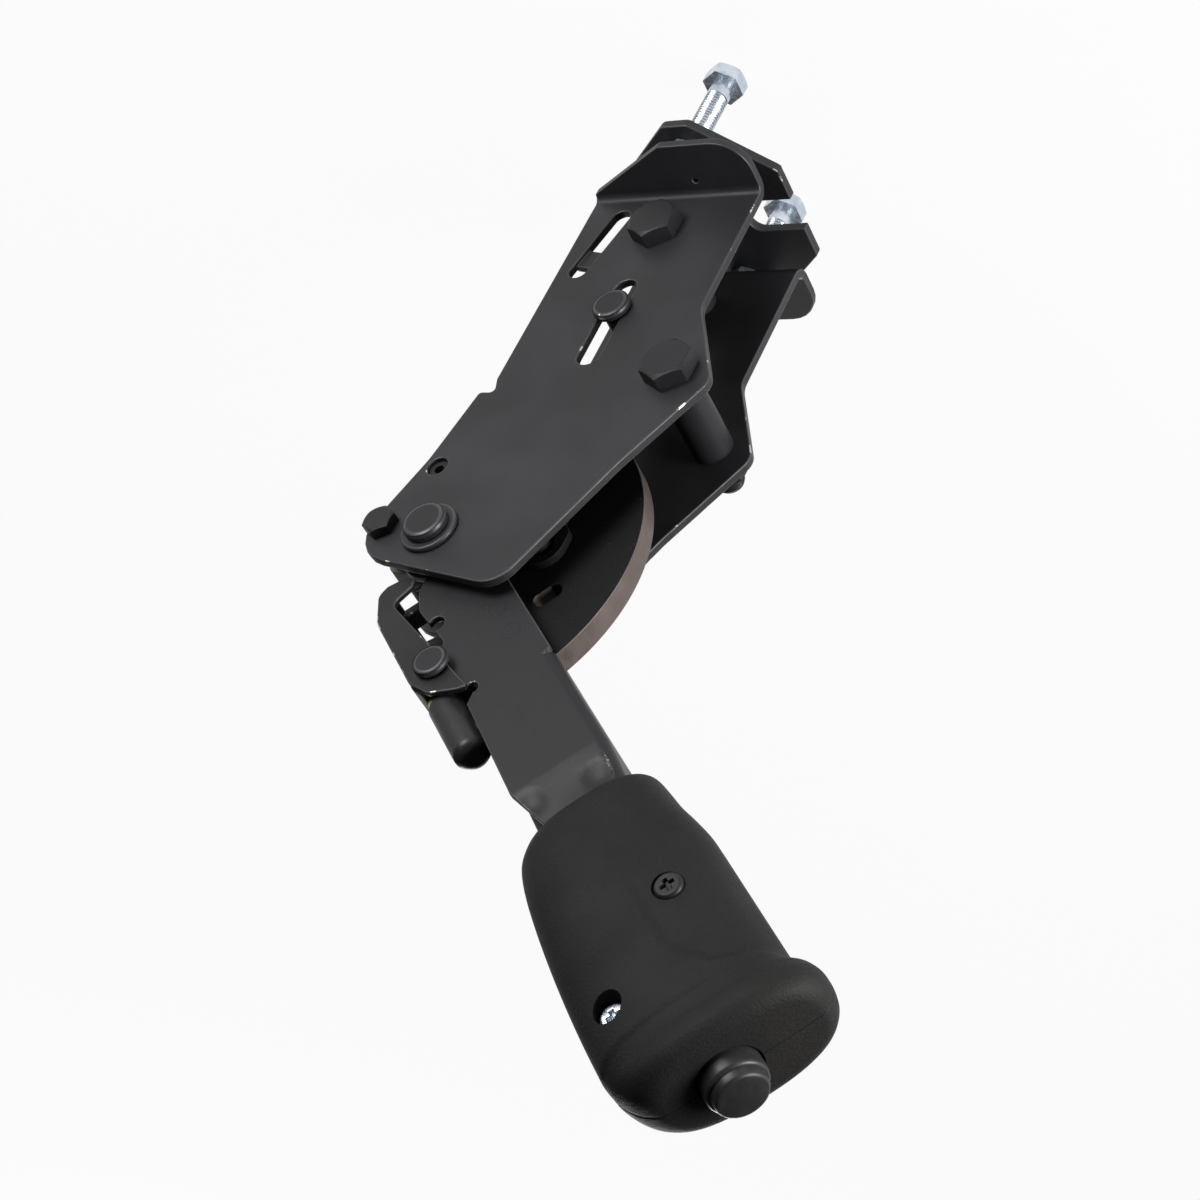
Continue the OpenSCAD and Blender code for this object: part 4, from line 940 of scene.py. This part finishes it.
class BRAKE_OT_stage(BrakeOperator, bpy.types.Operator):
    """Sets up the camera, the floor and the soft light"""

    bl_idname = "brake.stage"
    bl_label = "Stage"

    def execute(self, context):
        _tint, _size, stage = settings()
        scene = context.scene
        scene.view_settings.view_transform = "Standard"
        self.camera(scene, stage)
        self.floor(scene)
        self.lights(scene, stage)
        return {"FINISHED"}

    def camera(self, scene, stage):
        az, el, roll = (math.radians(v) for v in (stage.azimuth, stage.elevation, stage.roll))
        back = Vector((math.cos(az) * math.cos(el), math.sin(az) * math.cos(el), math.sin(el)))
        level = Vector((-math.sin(az), math.cos(az), 0))
        above = back.cross(level)
        right = math.cos(roll) * level + math.sin(roll) * above
        up = -math.sin(roll) * level + math.cos(roll) * above
        data = bpy.data.cameras.new("photo_camera")
        data.sensor_width = 36
        data.lens = stage.lens
        data.clip_start, data.clip_end = 0.01, 30
        camera = bpy.data.objects.new("photo_camera", data)
        scene.collection.objects.link(camera)
        turn = Matrix((right, up, back)).transposed().to_4x4()
        spot = PIVOT + back * stage.distance + (right * stage.shift[0] + up * stage.shift[1]) * MM
        camera.matrix_world = Matrix.Translation(spot) @ turn
        scene.camera = camera

    def floor(self, scene):
        low, reach = CAD_BOX[0].z - 0.2 * MM, FLOOR_REACH
        corners = [(-reach, -reach, low), (reach, -reach, low), (reach, reach, low), (-reach, reach, low)]
        mesh = mesh_of("pale_floor", corners, [(0, 1, 2, 3)])
        floor = new_object("pale_floor", mesh)
        made = bpy.data.materials.new("white_paper")
        made.use_nodes = True
        tree = made.node_tree
        tree.nodes.clear()
        path = add(tree, "ShaderNodeLightPath").outputs
        seen = {"Value": path["Is Camera Ray"], "Value_001": path["Is Glossy Ray"]}
        seen = add(tree, "ShaderNodeMath", seen, operation="MAXIMUM")
        clear = {"Value": seen, "Value_001": path["Is Transmission Ray"]}
        clear = add(tree, "ShaderNodeMath", clear, operation="MAXIMUM")
        share = {"Value": clear, "Value_001": PAPER_WHITE}
        share = add(tree, "ShaderNodeMath", share, operation="MULTIPLY")
        paper = add(tree, "ShaderNodeBsdfDiffuse", {"Color": rgba(linear(PAPER))})
        white = add(tree, "ShaderNodeEmission", {"Color": (1, 1, 1, 1), "Strength": 1.0})
        mixed = add(tree, "ShaderNodeMixShader", {"Fac": share, "Shader": paper, "Shader_001": white})
        add(tree, "ShaderNodeOutputMaterial", {"Surface": mixed})
        mesh.materials.append(made)

    def lights(self, scene, stage):
        world = bpy.data.worlds.new("soft_room")
        world.use_nodes = True
        tree = world.node_tree
        tree.nodes.clear()
        path = add(tree, "ShaderNodeLightPath").outputs
        room = add(tree, "ShaderNodeBackground", {"Color": (1, 1, 1, 1), "Strength": stage.room})
        white = add(tree, "ShaderNodeBackground", {"Color": (1, 1, 1, 1), "Strength": 1.0})
        given = {"Fac": path["Is Camera Ray"], "Shader": room, "Shader_001": white}
        mixed = add(tree, "ShaderNodeMixShader", given)
        add(tree, "ShaderNodeOutputWorld", {"Surface": mixed})
        scene.world = world
        for name, (way, far, wide) in LIGHTS.items():
            data = bpy.data.lights.new(f"{name}_softbox", "AREA")
            data.shape = "DISK"
            data.size = wide
            data.energy = getattr(stage, name)
            lamp = bpy.data.objects.new(f"{name}_softbox", data)
            scene.collection.objects.link(lamp)
            out = Vector(way).normalized()
            turn = out.to_track_quat("Z", "Y").to_matrix().to_4x4()
            lamp.matrix_world = Matrix.Translation(LIGHT_AIM + out * far) @ turn


class BRAKE_OT_bracket(BrakeOperator, bpy.types.Operator):
    """Builds the side plates, the clamp plate and the pieces fixed between the plates"""

    bl_idname = "brake.bracket"
    bl_label = "Bracket"

    def execute(self, context):
        _tint, size, _stage = settings()
        for node in ("near_side_plate", "far_side_plate", "clamp_plate"):
            dressed(node, "bracket", "black_coated_steel", "dip_coat", "coat_edge", size.sheet_edge)
        for node in ("lower_spacer", "upper_spacer", "ratchet_sleeves"):
            dressed(node, "bracket", "dark_steel", "thin_coat", "thin_edge")
        dressed("ratchet_rivet", "bracket", "bare_steel", "thin_coat")
        for node in ("thrust_washers", "pivot_spacers", "ratchet_plate"):
            dressed(node, "bracket", "bare_steel", "steel")
        dressed("pivot_washers", "bracket", "black_coated_steel", "dip_coat", "coat_edge", size.head_edge)
        dressed("pivot_pin", "bracket", "dark_steel", "thin_coat", "thin_edge", size.head_edge)
        dressed("pivot_retainer", "bracket", "zinc_steel", "zinc")
        return {"FINISHED"}


# Foot bolts: distance of each from the middle, and where their heads sit
FOOT_BOLT = 29 * MM
CLAMP_SEAT = -40 * MM


class BRAKE_OT_fasteners(BrakeOperator, bpy.types.Operator):
    """Builds the hex bolts and nuts, with chamfered heads and cut threads"""

    bl_idname = "brake.fasteners"
    bl_label = "Fasteners"

    def execute(self, context):
        _tint, size, _stage = settings()
        toward, down, up = ((math.radians(turn), 0, 0) for turn in (-90, 180, 0))
        both = ["lower_bolt", "upper_bolt"], ["lower_nut", "upper_nut"]
        for label, end, kind, pitch, (bolts, nuts), slot in (
            ("cross", "s", CROSS, size.cross_pitch, both, "black_coated_steel"),
            ("corner", "_set", CORNER, size.corner_pitch, (["corner_bolt"], ["corner_nut"]), "dark_steel"),
        ):
            bolt, nut = bolt_mesh(f"{label}_bolt", kind, pitch), nut_mesh(f"{label}_nut", kind)
            spots = [middle(node) for node in bolts]
            near = [(spot.x, SEAT, spot.z) for spot in spots]
            far = [(spot.x, -SEAT - kind.nut * MM, spot.z) for spot in spots]
            fastener_set(f"{label}_bolt{end}", bolt, near, toward, "thin_coat", bolts)
            fastener_set(f"{label}_nut{end}", nut, far, toward, "thin_coat", nuts)
        feet = [-FOOT_BOLT, FOOT_BOLT]
        clamp_bolt = bolt_mesh("clamp_bolt", CLAMP, size.coarse_pitch)
        places = [(0, y, CLAMP_SEAT) for y in feet]
        fastener_set("clamp_bolt_pair", clamp_bolt, places, down, "zinc", ["clamp_bolts"])
        places = [(0, y, -CLAMP.nut * MM) for y in feet]
        nut = nut_mesh("weld_nut", CLAMP)
        fastener_set("weld_nut_pair", nut, places, up, "zinc", ["weld_nuts"])
        return {"FINISHED"}


class BRAKE_OT_lever(BrakeOperator, bpy.types.Operator):
    """Builds the channel lever, the sector plate on it and the links it pulls"""

    bl_idname = "brake.lever"
    bl_label = "Lever and links"

    def execute(self, context):
        _tint, size, _stage = settings()
        rivets = [lever_point(42, -5), lever_point(54, -5)]
        channel = {"width": size.sheet_edge, "plain": rivets, "press": soft_neck}
        dressed("lever_channel", "lever", "dark_steel", "thin_coat", "thin_edge", **channel)
        dressed("pivot_bushes", "lever", "brass", "brass")
        # The sector plate's faces, spacers, crank pin and links get the near-black finish, partly their own
        # black and partly painted shade between the plates; the sector's rim is bare steel
        dressed("sector_plate", "lever", "bare_steel", "oiled", rim="steel")
        dressed("sector_rivets", "lever", "dark_steel", "thin_coat", plain=rivets)
        dressed("sector_spacers", "lever", "dark_steel", "oiled")
        dressed("crank_pin", "lever", "bare_steel", "oiled")
        dressed("pull_links", "cable_link", "dark_steel", "oiled")
        dressed("cable_pin", "cable_link", "dark_steel", "thin_coat", "thin_edge", size.head_edge)
        dressed("pin_clip", "cable_link", "zinc_steel", "zinc")
        return {"FINISHED"}


# Push button along the lever, as (distance, radius) in millimetres
BUTTON = [
    (210.2, 4),
    (210.2, 9.3),
    (213.2, 9.3),
    (213.2, 8.8),
    (232.4, 8.8),
    (233.1, 8.6),
    (233.5, 8.1),
    (233.6, 7.6),
    (235.6, 7.5),
    (236.2, 7.2),
    (236.5, 6.6),
]
# Springs: coil radius, turns and length in millimetres, and where they stand
PLUNGER_COIL = (4.0, 5.0, 15.0)
PLUNGER_FROM, PLUNGER_TO = (68.5, 23, 5.9), (83.5, 23, 5.9)
BUTTON_COIL = (5.6, 4.0, 9.0)
BUTTON_FROM = (201.2, 6)


class BRAKE_OT_release(BrakeOperator, bpy.types.Operator):
    """Builds the pawl, its sprung plunger, the rod and the push button"""

    bl_idname = "brake.release"
    bl_label = "Pawl and release"

    def execute(self, context):
        _tint, size, _stage = settings()
        # The pawl gets the darker mix of the coat, near black with patches of the coat's colour
        dressed("pawl", "pawl", "dark_steel", "greased", "pawl_edge", size.sheet_edge)
        dressed("pawl_pin", "lever", "dark_steel", "thin_coat", "thin_edge", size.head_edge)
        dressed("rod_guide", "lever", "dark_steel", "thin_coat")
        dressed("spring_sleeve", "lever", "black_plastic", "button")
        dressed("pawl_plunger", "plunger", "brass", "brass")
        dressed("release_rod", "release", "bare_steel", "steel")
        button = bar("push_button_finished", BUTTON, "X", BUTTON_AXIS)
        button.data.materials.append(finish("button"))
        smooth(button.data, 50)
        place(button, "release", ["push_button"])
        start, anchor = lever_point(*PLUNGER_FROM), lever_point(*PLUNGER_TO)
        spring("plunger_coil", PLUNGER_COIL, start, "plunger_spring")
        start = lever_point(*BUTTON_FROM)
        spring("button_coil", BUTTON_COIL, start, "button_spring")
        return {"FINISHED"}


class BRAKE_OT_grip(BrakeOperator, bpy.types.Operator):
    """Builds the two moulded halves of the grip and their screws"""

    bl_idname = "brake.grip"
    bl_label = "Grip"

    def execute(self, context):
        grip_half("grip_near_shell", "grip_near_half", 1)
        grip_half("grip_far_shell", "grip_far_half", -1)
        # The front grip screw gets the darker mix of the coat
        dressed("front_grip_screw", "lever", "dark_steel", "greased")
        dressed("end_grip_screw", "lever", "zinc_steel", "zinc")
        return {"FINISHED"}


class BRAKE_PT_panel(bpy.types.Panel):
    """Lists the lever's settings and its operators"""

    bl_idname = "BRAKE_PT_panel"
    bl_label = "Brake lever"
    bl_space_type = "VIEW_3D"
    bl_region_type = "UI"
    bl_category = "Brake lever"

    def draw(self, context):
        for group in settings():
            box = self.layout.box()
            for name in group.bl_rna.properties.keys():
                if name not in ("rna_type", "name"):
                    box.prop(group, name)
        for operator in OPERATORS:
            self.layout.operator(operator.bl_idname)


GROUPS = {"brake_finish": BrakeFinish, "brake_size": BrakeSize, "brake_stage": BrakeStage}
OPERATORS = (
    BRAKE_OT_stage,
    BRAKE_OT_bracket,
    BRAKE_OT_fasteners,
    BRAKE_OT_lever,
    BRAKE_OT_release,
    BRAKE_OT_grip,
)


def register():
    for made in (*GROUPS.values(), *OPERATORS, BRAKE_PT_panel):
        bpy.utils.register_class(made)
    for name, group in GROUPS.items():
        setattr(bpy.types.Scene, name, PointerProperty(type=group))


def unregister():
    for name in GROUPS:
        delattr(bpy.types.Scene, name)
    for made in reversed((*GROUPS.values(), *OPERATORS, BRAKE_PT_panel)):
        bpy.utils.unregister_class(made)


def main():
    register()
    bpy.ops.brake.stage()
    bpy.ops.brake.bracket()
    bpy.ops.brake.fasteners()
    bpy.ops.brake.lever()
    bpy.ops.brake.release()
    bpy.ops.brake.grip()


if __name__ == "__main__":
    main()
